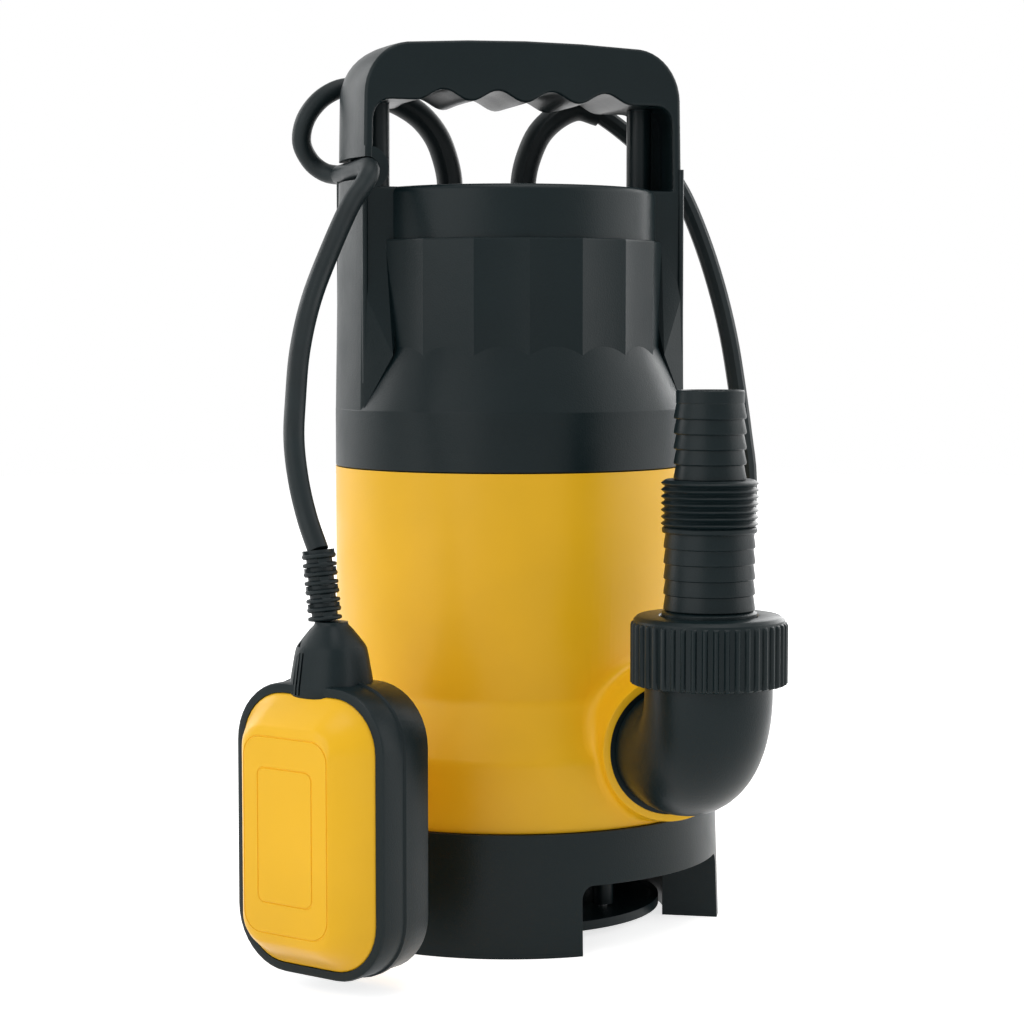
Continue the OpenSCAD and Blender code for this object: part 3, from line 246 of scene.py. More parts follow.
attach(power_cord, "housing")
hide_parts("power_cord", "power_cord_coil", "power_cord_tail")
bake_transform(float_cable)
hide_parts("float_cable_upper", "float_cable_lower")


# ---- Modelling tools ----

def edit(piece):
    """Opens a piece in edit mode with nothing selected."""
    clear()
    bpy.context.view_layer.objects.active = piece
    piece.select_set(True)
    bpy.ops.object.mode_set(mode="EDIT")
    bpy.ops.mesh.select_all(action="DESELECT")


def pick(piece, kind, test):
    """Selects the vertices, edges or faces of a piece in edit mode that pass a test."""
    mesh = bmesh.from_edit_mesh(piece.data)
    for thing in getattr(mesh, kind):
        if test(thing):
            thing.select_set(True)
    mesh.select_flush_mode()
    bmesh.update_edit_mesh(piece.data)


def tidy(piece, sharp=35, merge=0.0005):
    """Merges points nearer than a distance, points the faces outwards and smooths the gentle edges."""
    edit(piece)
    bpy.ops.mesh.select_all(action="SELECT")
    bpy.ops.mesh.remove_doubles(threshold=merge * MM)
    bpy.ops.mesh.normals_make_consistent(inside=False)
    bpy.ops.object.mode_set(mode="OBJECT")
    bpy.ops.object.shade_smooth_by_angle(angle=math.radians(sharp))
    return piece


def draw(name, points):
    """Draws a chain of edges through points, and leaves it open in edit mode, all selected."""
    clear()
    bpy.ops.mesh.primitive_plane_add(size=MM)
    piece = bpy.context.object
    piece.name = piece.data.name = name
    bpy.ops.object.mode_set(mode="EDIT")
    bpy.ops.mesh.merge(type="CENTER")
    bpy.ops.transform.translate(value=Vector(points[0]) * MM)
    for a, b in zip(points, points[1:]):
        bpy.ops.mesh.extrude_region_move(TRANSFORM_OT_translate={"value": (Vector(b) - Vector(a)) * MM})
    bpy.ops.mesh.select_all(action="SELECT")
    return piece


def turned(name, outline, segments=96, ring=False, sharp=35):
    """Spins an outline of (radius, height) points about the Z axis. A ring's outline is closed."""
    points = [(r, 0, z) for r, z in outline]
    piece = draw(name, points + points[:1] if ring else points)
    bpy.ops.mesh.spin(steps=segments, angle=math.tau, center=(0, 0, 0), axis=(0, 0, 1))
    return tidy(piece, sharp)


def slab(name, outline, low, high, sharp=35):
    """Fills an outline of (x, y) points and raises it from one height to another."""
    piece = draw(name, [(x, y, low) for x, y in outline])
    bpy.ops.mesh.edge_face_add()
    bpy.ops.mesh.extrude_region_move(TRANSFORM_OT_translate={"value": (0, 0, (high - low) * MM)})
    return tidy(piece, sharp)


def lofted(name, sections, ring=False, sharp=35):
    """Extrudes the first section through all the others. A ring has no ends and comes back to its start."""
    piece = draw(name, list(sections[0]) + [sections[0][0]])
    bpy.ops.mesh.remove_doubles(threshold=1e-7)
    if not ring:
        bpy.ops.mesh.edge_face_add()
    last = sections[0]
    for section in (list(sections[1:]) + [sections[0]] if ring else sections[1:]):
        bpy.ops.mesh.extrude_region_move()
        finder = KDTree(len(last))
        for i, point in enumerate(last):
            finder.insert(Vector(point) * MM, i)
        finder.balance()
        mesh = bmesh.from_edit_mesh(piece.data)
        for vertex in mesh.verts:
            if vertex.select:
                vertex.co = Vector(section[finder.find(vertex.co)[1]]) * MM
        bmesh.update_edit_mesh(piece.data)
        last = section
    return tidy(piece, sharp)


def combine(piece, other, how):
    """Joins, cuts or intersects a solid with another, which is used up."""
    clear()
    bpy.context.view_layer.objects.active = piece
    piece.select_set(True)
    modifier = piece.modifiers.new("solid", "BOOLEAN")
    modifier.operation = how
    modifier.solver = "EXACT"
    modifier.object = other
    bpy.ops.object.modifier_apply(modifier=modifier.name)
    bpy.data.objects.remove(other)
    return piece


def ease_edges(piece, width, segments=2, angle=50):
    """Rounds a piece's sharp edges."""
    clear()
    bpy.context.view_layer.objects.active = piece
    piece.select_set(True)
    modifier = piece.modifiers.new("edges", "BEVEL")
    modifier.width = width * MM
    modifier.segments = segments
    modifier.limit_method = "ANGLE"
    modifier.angle_limit = math.radians(angle)
    bpy.ops.object.modifier_apply(modifier=modifier.name)
    return piece


def moved(piece, offset=(0, 0, 0), turn=0.0, axis="Z"):
    """Turns a piece about an axis through the origin, in degrees, and then shifts it."""
    shift = Matrix.Translation(Vector(offset) * MM)
    piece.data.transform(shift @ Matrix.Rotation(math.radians(turn), 4, axis))
    return piece


def copied(piece, name):
    """A copy of a piece with its own mesh."""
    twin = piece.copy()
    twin.data = piece.data.copy()
    twin.name = twin.data.name = name
    bpy.context.scene.collection.objects.link(twin)
    return twin


def rounded_line(corners, ring=False, steps=6):
    """Points of a line through (x, y) or (x, y, radius) corners, with an arc where there is a radius."""
    made = []
    count = len(corners)
    for i, corner in enumerate(corners):
        here = Vector(corner[:2])
        if len(corner) < 3 or (not ring and i in (0, count - 1)):
            made.append(tuple(here))
            continue
        before = (Vector(corners[i - 1][:2]) - here).normalized()
        after = (Vector(corners[(i + 1) % count][:2]) - here).normalized()
        half = before.angle(after) / 2
        centre = here + (before + after).normalized() * corner[2] / math.sin(half)
        start = here + before * corner[2] / math.tan(half) - centre
        end = here + after * corner[2] / math.tan(half) - centre
        sweep = math.atan2(start.x * end.y - start.y * end.x, start.dot(end))
        for k in range(steps + 1):
            made.append(tuple(centre + Matrix.Rotation(sweep * k / steps, 2) @ start))
    return made


def rounded_box(width, height, radius, steps):
    """Outline of a rectangle with round corners, from its right side round."""
    made = []
    for i, (sx, sy) in enumerate([(1, 1), (-1, 1), (-1, -1), (1, -1)]):
        for k in range(steps + 1):
            a = math.pi / 2 * (i + k / steps)
            made.append((sx * (width / 2 - radius) + radius * math.cos(a),
                         sy * (height / 2 - radius) + radius * math.sin(a)))
    return made


def swept(route, profile):
    """Sections of a profile of (across, up) points, carried along a route without twisting."""
    points = [Vector(p) for p in route]
    # Any start will do that the route doesn't run along.
    side = Vector((0.31, 0.87, 0.38))
    made = []
    for i, point in enumerate(points):
        ahead = (points[min(i + 1, len(points) - 1)] - points[max(i - 1, 0)]).normalized()
        side = (side - side.dot(ahead) * ahead).normalized()
        up = ahead.cross(side)
        made.append([point + side * a + up * b for a, b in profile])
    return made


def disc(radius, segments):
    """Points of a circle."""
    return [(radius * math.cos(math.tau * k / segments), radius * math.sin(math.tau * k / segments))
            for k in range(segments)]


def rod(name, radius, low, high, at, segments=48, along="Z"):
    """A solid round bar between two heights, or between two depths when it lies along Y."""
    piece = slab(name, disc(radius, segments), low, high)
    if along == "Y":
        moved(piece, turn=-90, axis="X")
        return moved(piece, (at[0], 0, at[1]))
    return moved(piece, (at[0], at[1], 0))


# ---- Casing and base ----

FOOT_R, WALL = 77, 2.6
FLARE_Z, BARREL_Z = 69, 89
BOSS_FACE_R, BOSS_ROOT_R, BOSS_BORE_R = 26.5, 31.5, 20.6
BOSS_EASE, BOSS_FILLET = 0.8, 4.5
RECESS_R, RECESS_Y = 23.8, -76.9
WINDOW_TURNS = (32, 152, 272)
WINDOW_HALF = math.radians(30)
WINDOW_TOP, WINDOW_CORNER = 25, 5
POST_TURNS = (44, 164, 284)
POST_PITCH_R, POST_R = 40, 4
LEG_WALL, LEG_HOLLOW = 3, 33


def casing_side(inset=0.0):
    """The casing's outer side, from its rim up to the cover."""
    return rounded_line([
        (FOOT_R - inset, BASE_TOP + 0.7), (FOOT_R - inset, FLARE_Z, 8), (CASING_R - inset, BARREL_Z, 8),
        (CASING_R - inset, CASING_TOP),
    ])


def radius_at(side, z):
    """Radius of a side at a height."""
    for (r0, z0), (r1, z1) in zip(side, side[1:]):
        if z0 <= z <= z1:
            return r0 + (r1 - r0) * (z - z0) / max(z1 - z0, 1e-6)
    return side[0][0] if z < side[0][1] else side[-1][0]


def boss_sections(side, count=96):
    """Rings of the outlet boss, from its face to where a fillet runs out on the casing."""
    x0, face_y, z0 = OUTLET

    def surface(x, z):
        return -math.sqrt(max(radius_at(side, z) ** 2 - x * x, 0))

    rings = [[] for _ in range(13)]
    for k in range(count):
        a = math.tau * k / count
        c, s = math.cos(a), math.sin(a)

        def at(r, y):
            return Vector((x0 + r * c, y, z0 + r * s))

        widest = (CASING_R - 1 - x0) / c if c > 0.1 else 99

        def wall_r(y):
            return min(BOSS_FACE_R + (BOSS_ROOT_R - BOSS_FACE_R) * (y - face_y) / 40, widest)

        meet = -60.0
        for _ in range(30):
            meet = surface(x0 + wall_r(meet) * c, z0 + wall_r(meet) * s)
        root = wall_r(meet)
        fillet = min(BOSS_FILLET, (meet - face_y) * 0.7, max(0.15, widest + 0.6 - root))
        if s < 0:
            fillet = min(fillet, max(0.1, (z0 - BASE_TOP - 0.8) / -s - root))
        top = meet - fillet
        flat = surface(x0 + (root + fillet) * c, z0 + (root + fillet) * s)
        eased_y = face_y + BOSS_EASE
        column = [at(25.8, face_y), at(26.3, face_y + 0.2), at(BOSS_FACE_R, eased_y)]
        column += [at(wall_r(y), y) for y in (eased_y + (top - eased_y) * t for t in (0.35, 0.7, 1.0))]
        corner, end = at(root, meet), at(root + fillet, flat)
        start = column[-1]
        for t in (0.2, 0.4, 0.6, 0.8, 1.0):
            column.append(start * (1 - t) ** 2 + corner * 2 * t * (1 - t) + end * t * t)
        column += [at(root + fillet - 2, flat + 5), at(20, -25)]
        for ring, point in zip(rings, column):
            ring.append(point)
    return rings


def model_casing():
    """The yellow shell: a turned wall with the outlet boss, hollow and open at both ends."""
    side = casing_side()
    rim = [(0, BASE_TOP), (FOOT_R - 0.7, BASE_TOP), (FOOT_R - 0.2, BASE_TOP + 0.2)]
    piece = turned("casing_shell", rim + side + [(0, CASING_TOP)], 160)
    combine(piece, lofted("boss", boss_sections(side)), "UNION")
    inner = casing_side(WALL)
    low, high = BASE_TOP - 2, CASING_TOP + 2
    hollow = [(0, low), (inner[0][0], low)] + inner + [(inner[-1][0], high), (0, high)]
    combine(piece, turned("hollow", hollow, 128), "DIFFERENCE")
    at = (OUTLET[0], OUTLET[2])
    combine(piece, rod("bore", BOSS_BORE_R, -86, -30, at, 96, "Y"), "DIFFERENCE")
    combine(piece, rod("recess", RECESS_R, -86, RECESS_Y, at, 96, "Y"), "DIFFERENCE")
    return tidy(piece, 28)


def window_cutter(turn):
    """A wedge that widens from the axis, with round upper corners."""
    sections = []
    for reach in (50, 90):
        half = reach * math.tan(WINDOW_HALF)
        outline = rounded_line([(-half, -2), (-half, WINDOW_TOP, WINDOW_CORNER), (half, WINDOW_TOP, WINDOW_CORNER),
                                (half, -2)])
        sections.append([(x, -reach, z) for x, z in outline])
    return moved(lofted("window", sections), turn=turn)


def model_base():
    """One turned block, hollowed from below between its legs' walls, with three inlet windows."""
    piece = turned("base_block", rounded_line([
        (59, 0), (79.9, 0), (78.4, BASE_TOP), (19, BASE_TOP), (19, 34), (22, 34), (22, 40), (59, 40),
    ], ring=True), 144, ring=True)
    for turn in WINDOW_TURNS:
        combine(piece, window_cutter(turn), "DIFFERENCE")
    edit(piece)
    pick(piece, "faces", lambda f: f.normal.z < -0.999 and f.calc_center_median().z < 0.001)
    bpy.ops.mesh.inset(thickness=LEG_WALL * MM, use_even_offset=True)
    bpy.ops.mesh.extrude_region_move(TRANSFORM_OT_translate={"value": (0, 0, LEG_HOLLOW * MM)})
    tidy(piece)
    for turn in POST_TURNS:
        a = math.radians(turn)
        at = (POST_PITCH_R * math.sin(a), -POST_PITCH_R * math.cos(a))
        combine(piece, rod("post", POST_R, 6.6, 42, at, 40), "UNION")
    ease_edges(tidy(piece, merge=0.12), 0.5, 2, 55)
    return tidy(piece, 32)


# ---- Top cover with its handle ----

STRAP_T = 3.6
# Share of its width that the handle loses with each millimetre of height.
TAPER = 0.00029
FLUTES, FLUTE_DEPTH = 18, 0.5
GROOVE_PITCH, GROOVE_DEPTH = 22.5, 4
CLIP_R, KEYHOLE_R = 8, 4.05
LEG_POST_X, LEG_POST_R = 51.6, 4.7
BEAD_AT, BEAD_R = (61.2, 20.2), 1.1
GLAND_AT, GLAND_HOLE_R = (15, 31), 5.45


def column_outline():
    """Plan of the fluted column: shallow hollows that meet in ridges."""
    half = math.pi / FLUTES
    chord = COLUMN_R * math.sin(half)
    hollow_r = (chord * chord + FLUTE_DEPTH * FLUTE_DEPTH) / (2 * FLUTE_DEPTH)
    middle = COLUMN_R * math.cos(half) - FLUTE_DEPTH + hollow_r
    made = []
    for i in range(FLUTES):
        for k in range(8):
            off = -half + 2 * half * k / 8
            r = middle * math.cos(off) - math.sqrt(hollow_r ** 2 - (middle * math.sin(off)) ** 2)
            a = 2 * half * i + off - math.pi / 2
            made.append((r * math.cos(a), r * math.sin(a)))
    return made


def narrowing(y):
    """How much narrower the handle is at a depth, because its sides follow the casing's round."""
    return math.sqrt(CASING_R ** 2 - y * y) / CASING_R


def front_view(outline, depth):
    """Sections of an (x, z) outline from front to back, narrowed by the casing's round and the taper."""
    steps = 14
    made = []
    for i in range(steps + 1):
        y = depth * (2 * i / steps - 1)
        side = narrowing(min(abs(y), FRONT_HALF))
        made.append([(x * side * (1 - TAPER * max(z - BAND_Z, 0)), y, z) for x, z in outline])
    return made


def arc(cx, cy, radius, start, end, steps):
    """Points of an arc between two angles in degrees."""
    angles = [math.radians(start + (end - start) * k / steps) for k in range(steps + 1)]
    return [(cx + radius * math.cos(a), cy + radius * math.sin(a)) for a in angles]


def handle_outline():
    corner = 19
    low = HANDLE_TOP - corner - 1.5
    return ([(CASING_R - 0.03, BAND_Z - 1)] + arc(CASING_R - corner, low, corner, 0, 84, 10)
            + [(24, HANDLE_TOP - 0.4), (0, HANDLE_TOP), (-24, HANDLE_TOP - 0.4)]
            + arc(corner - CASING_R, low, corner, 96, 180, 10) + [(0.03 - CASING_R, BAND_Z - 1)])


def grip_outline():
    """Opening for the fingers, with four grooves in the bar's underside."""
    inner, corner = CASING_R - STRAP_T, 7
    across = [k * GROOVE_PITCH / 14 for k in range(-28, 29)]
    wave = [(x, BAR_Z + GROOVE_DEPTH / 2 * (1 - math.cos(math.tau * x / GROOVE_PITCH))) for x in across]
    return ([(-inner, CROWN_Z - 0.02)] + arc(corner - inner, BAR_Z - corner, corner, 180, 90, 6) + wave
            + arc(inner - corner, BAR_Z - corner, corner, 90, 0, 6) + [(inner, CROWN_Z - 0.02)])


def hulled(name, points):
    """The smallest solid around points."""
    piece = draw(name, points)
    bpy.ops.mesh.convex_hull()
    return tidy(piece, 5)


def add_gussets(piece):
    """Slanted webs between the pillars' front and rear faces and the foot of the column."""
    facet = [(62.2, -21.2, 193.2), (52.5, -26.5, 212.8), (53.5, -20.4, 252), (62.2, -20.4, 236.9)]
    back = [(60, -17.5, 193.2), (47, -17.5, 200), (47, -17.5, 250), (60, -17.5, 235)]
    for sx in (1, -1):
        for sy in (1, -1):
            combine(piece, hulled("gusset", [(sx * x, sy * y, z) for x, y, z in facet + back]), "UNION")


def keyhole():
    """What the float cable's clip leaves open: a round channel and its mouth to the left."""
    x, z = CLIP[0], CLIP[2]
    outline = arc(x, z, KEYHOLE_R, -90, 90, 20) + [(x - 9, z + KEYHOLE_R), (x - 9, z - KEYHOLE_R)]
    return lofted("keyhole", [[(a, y, b) for a, b in outline] for y in (-FRONT_HALF - 3, FRONT_HALF + 3)])


def model_cover():
    """The black cover: a turned body, a fluted column, and the handle with the float cable's clip."""
    piece = turned("cover_and_handle", [(0, 165), (63.2, 165), (63.2, CASING_TOP)] + rounded_line([
        (65.4, CASING_TOP), (CASING_R, CASING_TOP + 0.6), (CASING_R, BAND_Z, 1.6),
        (CROWN_R, BAND_Z + (CASING_R - CROWN_R) * 20.1 / 8.5, 1.5), (CROWN_R, CROWN_Z, 2.6), (0, CROWN_Z),
    ]), 160, sharp=25)
    column = slab("column", column_outline(), CONE_Z - 9, COLUMN_TOP, 8)
    combine(piece, ease_edges(column, 0.7, 2, 60), "UNION")
    frame_body = lofted("handle", front_view(handle_outline(), FRONT_HALF), sharp=30)
    clip = rod("clip", CLIP_R, 0.2 - FRONT_HALF, FRONT_HALF - 0.2, (CLIP[0], CLIP[2]), 56, "Y")
    combine(clip, copied(frame_body, "clip_limit"), "INTERSECT")
    combine(frame_body, lofted("grip", front_view(grip_outline(), FRONT_HALF + 2), sharp=30), "DIFFERENCE")
    ease_edges(frame_body, 1.2, 5, 60)
    combine(frame_body, keyhole(), "DIFFERENCE")
    combine(clip, keyhole(), "DIFFERENCE")
    combine(frame_body, clip, "UNION")
    combine(piece, frame_body, "UNION")
    add_gussets(piece)
    for side in (1, -1):
        combine(piece, rod("leg_post", LEG_POST_R, CROWN_Z - 2, BAR_Z + 6, (side * LEG_POST_X, 0), 40), "UNION")
        near, far = side * 52, side * 61.4
        web = [(near, 1.2), (far, 1.2), (far, 4.8), (near, 4.8)]
        combine(piece, slab("web", web, CROWN_Z - 2, BAR_Z + 4), "UNION")
        for front in (1, -1):
            at = (side * BEAD_AT[0], front * BEAD_AT[1])
            combine(piece, rod("pillar_bead", BEAD_R, BAND_Z + 10, CROWN_Z + 8, at, 16), "UNION")
    for side in (1, -1):
        at = (side * GLAND_AT[0], GLAND_AT[1])
        combine(piece, rod("gland_hole", GLAND_HOLE_R, 262, 280, at, 40), "DIFFERENCE")
    combine(piece, turned("hollow", [(0, 163), (60, 163), (60, 171), (63, 174), (63, 191.2), (54.5, 211.3),
                                     (51.7, 215.8), (51.7, 271.2), (0, 271.2)], 96), "DIFFERENCE")
    return tidy(piece, 17)


# ---- Discharge elbow, union nut and hose adapter ----

def hoops(route, count=72):
    """Rings round a route in the plane of Y and Z, given as (y, z, heading in degrees from -Y up, radius)."""
    made = []
    for y, z, heading, radius in route:
        a = math.radians(heading)
        up = Vector((0, math.sin(a), math.cos(a)))
        made.append([Vector((RISER[0], y, z)) + radius * (math.cos(t) * Vector((1, 0, 0)) + math.sin(t) * up)
                     for t in (math.tau * k / count for k in range(count))])
    return made


ELBOW_R, ELBOW_BORE_R = 22, 19
ELBOW_BEND_R, ELBOW_NECK_Y = 25, -89
UNION_THREADS, UNION_PITCH = 4, 3.5


def model_elbow():
    """The elbow: its spigot, its bend, the union's thread at its top, and its bore back again."""

    def level(*pairs):
        """Hoops in the outlet's level pipe, from (y, radius) pairs."""
        return [(y, OUTLET[2], 0, r) for y, r in pairs]

    def riser(*pairs):
        """Hoops in the upright end, from (z, radius) pairs."""
        return [(RISER[1], z, 90, r) for z, r in pairs]

    quarter = [(ELBOW_NECK_Y - ELBOW_BEND_R * math.sin(math.radians(a)),
                RISER[2] - ELBOW_BEND_R * math.cos(math.radians(a)), a) for a in range(0, 91, 6)]
    out = level((-58, 17.2), (-58.3, 17.45), (-79.9, 17.45), (-80.1, 21.6), (-80.5, ELBOW_R))
    out += [(y, z, a, ELBOW_R) for y, z, a in quarter]
    out += riser((101.4, ELBOW_R), (101.8, 22.7))
    for i in range(UNION_THREADS):
        low = 102.2 + UNION_PITCH * i
        out += riser((low, 22.7), (low + 0.9, 23.8), (low + 1.7, 23.8), (low + 2.6, 22.7))
    out += riser((116.4, 22.9), (117, 22.4), (117, 19.4), (116.6, ELBOW_BORE_R))
    back = [(y, z, a, ELBOW_BORE_R) for y, z, a in reversed(quarter)]
    back += level((-80, 17), (-76, 14.45), (-58, 14.45))
    return lofted("elbow_pipe", hoops(out + back), ring=True, sharp=32)


def model_nut():
    """Each grip rib is eight points of the ring, and sinks into the body at its rounded top."""
    ribs, body = 44, 26.0
    bump = ((-1.02, 0), (-0.9, 0.35), (-0.55, 0.82), (0, 1.0), (0.55, 0.82), (0.9, 0.35), (1.02, 0), (1.85, 0))
    # Height, radius, and how much of a rib's height stands out there.
    rows = [
        (101, 25.3, 0.6), (101.5, 26, 1), (121.2, 26, 1), (121.8, 26, 0.85), (122.2, 26, 0.55), (122.5, 26, 0),
        (123.2, 25.9, 0), (124.2, 24.9, 0), (124.5, 24.4, 0), (124.5, 17.3, 0), (124.1, 16.7, 0),
        (121.5, 16.7, 0), (121.5, 23.95, 0), (102, 23.95, 0), (101, 24.6, 0),
    ]
    sections = []
    for z, r, share in rows:
        section = []
        for i in range(ribs):
            for along, height in bump:
                a = math.tau * i / ribs + along / body
                reach = r + share * height
                section.append((RISER[0] + reach * math.cos(a), RISER[1] + reach * math.sin(a), z))
        sections.append(section)
    return lofted("ribbed_nut", sections, ring=True, sharp=32)


def model_adapter():
    """Two lengths of barbs with a pipe thread between them, and a plain ring at the top."""
    low_z, thread_z, top_z, lead_z = 126.5, 153, 171.07, 197.07
    pipe_pitch = 2.31

    def barbs(z, r, pitch, step):
        """Five barbs that each narrow upwards by a step."""
        made = []
        for i in range(5):
            made += [(r - 0.25, z + i * pitch), (r, z + i * pitch + 0.25), (r, z + i * pitch + 0.9),
                     (r - step, z + (i + 1) * pitch - 0.05)]
        return made

    def thread(z):
        """Seven turns of the pipe thread, as rings."""
        made = []
        for i in range(7):
            low = z + i * pipe_pitch
            made += [(15.45, low), (15.6, low + 0.3), (16.5, low + 0.95), (16.62, low + 1.1),
                     (16.62, low + 1.25), (16.5, low + 1.4), (15.6, low + 2.05)]
        return made

    outline = [(19, 118.6), (23.2, 118.6), (23.4, 118.8), (23.4, 121.2), (23.2, 121.4), (16.8, 121.4),
               (16.4, 121.8), (16.4, 125.4), (16.1, 125.7), (14.6, 126.5)]
    outline += barbs(low_z, 15.7, 5.3, 0.65)
    outline += [(16.0, thread_z), (16.3, thread_z + 0.4), (16.3, thread_z + 1.5), (16.0, thread_z + 1.85)]
    outline += thread(thread_z + 1.9) + [(15.42, top_z - 0.2), (15.2, top_z), (11.2, top_z + 0.02)]
    outline += barbs(top_z, 12.4, 5.2, 0.85)
    outline += [(11.55, lead_z), (11.7, lead_z + 0.2), (11.7, 201.2), (11.4, 201.57), (9.8, 201.57),
                (9.5, 201.3), (9.5, 154.9), (12.2, 153), (12.2, 124.4)]
    return moved(turned("stepped_hose_tail", outline, 112, ring=True, sharp=30), RISER[:2] + (0,))


# ---- Float ----

def set_float(piece):
    """Turns a piece from the float's own frame to where the float hangs."""
    piece.data.transform(Matrix.Translation(Vector(FLOAT_AT) * MM) @ Matrix.Rotation(FLOAT_TURN, 4, "Z"))
    return piece


def plates(levels, width, height, corner, steps=10):
    """Sections of a round-cornered plate facing -Y.

    Each level is (inset, y), or (inset, y, inset at top and bottom).
    """
    made = []
    for inset, y, *ends in levels:
        radius = max(corner - inset, 2.8 if ends else 8)
        box = rounded_box(width - 2 * inset, height - 2 * (ends[0] if ends else inset), radius, steps)
        made.append([(x, y, z) for x, z in box])
    return made


def model_float_frame():
    """A band round the float, with a lip at each face and a raised seam round its middle."""
    levels = [(1.2, -12.3), (0.35, -12), (0, -11.2), (0, -1.5), (-0.7, -1), (-0.7, 1), (0, 1.5), (0, 11.2),
              (0.35, 12), (1.2, 12.3), (3.2, 12.3), (3.2, -12.3)]
    return set_float(lofted("float_band", plates(levels, FLOAT_W, FLOAT_H, 21), ring=True, sharp=32))


def model_float_shell(name, front):
    """A crowned half shell: a rolled edge, slanted margins, and a flat field with two fine grooves."""
    margins = [(0, 0), (0, -11.6), (0.3, -12.3), (0.9, -12.9), (1.9, -13.9), (3.2, -15.7), (4.9, -18.2),
               (6.9, -20.9), (8.9, -23.1), (9.9, -23.9)]
    outer_groove = [(10.4, -24.25, 12.6), (10.6, -24.0, 12.8), (10.85, -24.0, 13.05), (11.05, -24.35, 13.25)]
    inner_groove = [(16.7, -24.55, 23), (16.9, -24.25, 23.2), (17.15, -24.25, 23.45), (17.35, -24.6, 23.65)]
    piece = lofted(name, plates(margins + outer_groove + inner_groove, 57.4, 91.8, 17.7), sharp=40)
    if not front:
        moved(piece, turn=180)
    return set_float(piece)


SQUARENESS = 0.7
NECK_GROOVES, NECK_GROOVE_PITCH = 5, 1.6


def collar_section(width, depth, z, count=40):
    """A rounded rectangle of a given width and depth, as points at equal angles."""

    def squared(c):
        return math.copysign(abs(c) ** SQUARENESS, c)

    angles = [math.tau * k / count for k in range(count)]
    return [(squared(math.cos(a)) * width / 2, squared(math.sin(a)) * depth / 2, z) for a in angles]


def model_float_collar():
    """The float's neck: it laps over the frame, narrows, and closes in a cone round the cable."""
    top = FLOAT_H / 2
    # Width, depth, and height over the float's top.
    rows = [(25.0, 26.0, -4.6), (25.6, 26.6, -4.0), (25.4, 26.0, -1), (24.2, 24.2, 4), (22.8, 22.4, 9),
            (21.8, 21.4, 11.4), (20.6, 20.2, 12.7), (16.8, 16.4, 15.4), (13.2, 13.0, 17.8), (10.8, 10.8, 19.1),
            (10.2, 10.2, 19.7), (10.2, 10.2, 20.3)]
    piece = lofted("float_neck", [collar_section(w, d, top + z) for w, d, z in rows], sharp=40)
    for i in range(NECK_GROOVES):
        x = -9.6 + NECK_GROOVE_PITCH * i
        left, right = x - 0.4, x + 0.4
        groove = [[(left, -16, top + z), (right, -16, top + z), (right, y, top + z), (left, y, top + z)]
                  for z, y in ((-3.6, -12.2), (10.4, -10.3))]
        combine(piece, lofted("groove", groove), "DIFFERENCE")
    arrow = [[(x, y, top + z) for x, z in ((-7.2, 12.1), (-5.6, 12.1), (-6.4, 16.2))] for y in (-14, -8.0)]
    combine(piece, lofted("arrow", arrow), "DIFFERENCE")
    return set_float(tidy(piece, 40))


def model_bellows():
    """Eight rings on a core, tied together by pads that change side from one gap to the next."""
    low, high = Vector((-92.6, -90.5, 124.4)), Vector((-94.4, -88.2, 148.2))
    rings, count = 8, 48
    ahead = (high - low).normalized()
    side = Vector((1, 0, 0))
    side = (side - side.dot(ahead) * ahead).normalized()
    up = ahead.cross(side)
    pitch = (high - low).length / rings
    rows = []
    for i in range(rings):
        for share, r in ((0.02, 0), (0.1, 0.8), (0.2, 1), (0.42, 1), (0.52, 0.8), (0.6, 0), (0.98, 0)):
            rows.append(((i + share) * pitch, r, i))
    sections = []
    for along, swell, i in rows:
        section = []
        for k in range(count):
            a = math.tau * k / count
            pad = 0.75 if abs(math.sin(a + (0 if i % 2 else math.pi / 2))) < 0.35 else 0.0
            r = 4.4 + 1.35 * max(swell, pad)
            section.append(low + ahead * along + (side * math.cos(a) + up * math.sin(a)) * r)
        sections.append(section)
    return lofted("float_bend_rings", sections, sharp=40)


# ---- Bend protectors ----

def ribbed_round(radius, ridges=2, count=48):
    """A circle with a few raised lines along it."""
    made = []
    for k in range(count):
        a = math.tau * k / count
        near = min(abs(math.remainder(a - math.tau * i / ridges, math.tau)) for i in range(ridges))
        r = radius - (0 if near < 0.1 else 0.25)
        made.append((r * math.cos(a), r * math.sin(a)))
    return made


def model_sleeve(name, route):
    points = smooth_points(route, 5)
    return lofted(name, swept(points, ribbed_round(5.25)), sharp=35)


# ---- Finishes ----

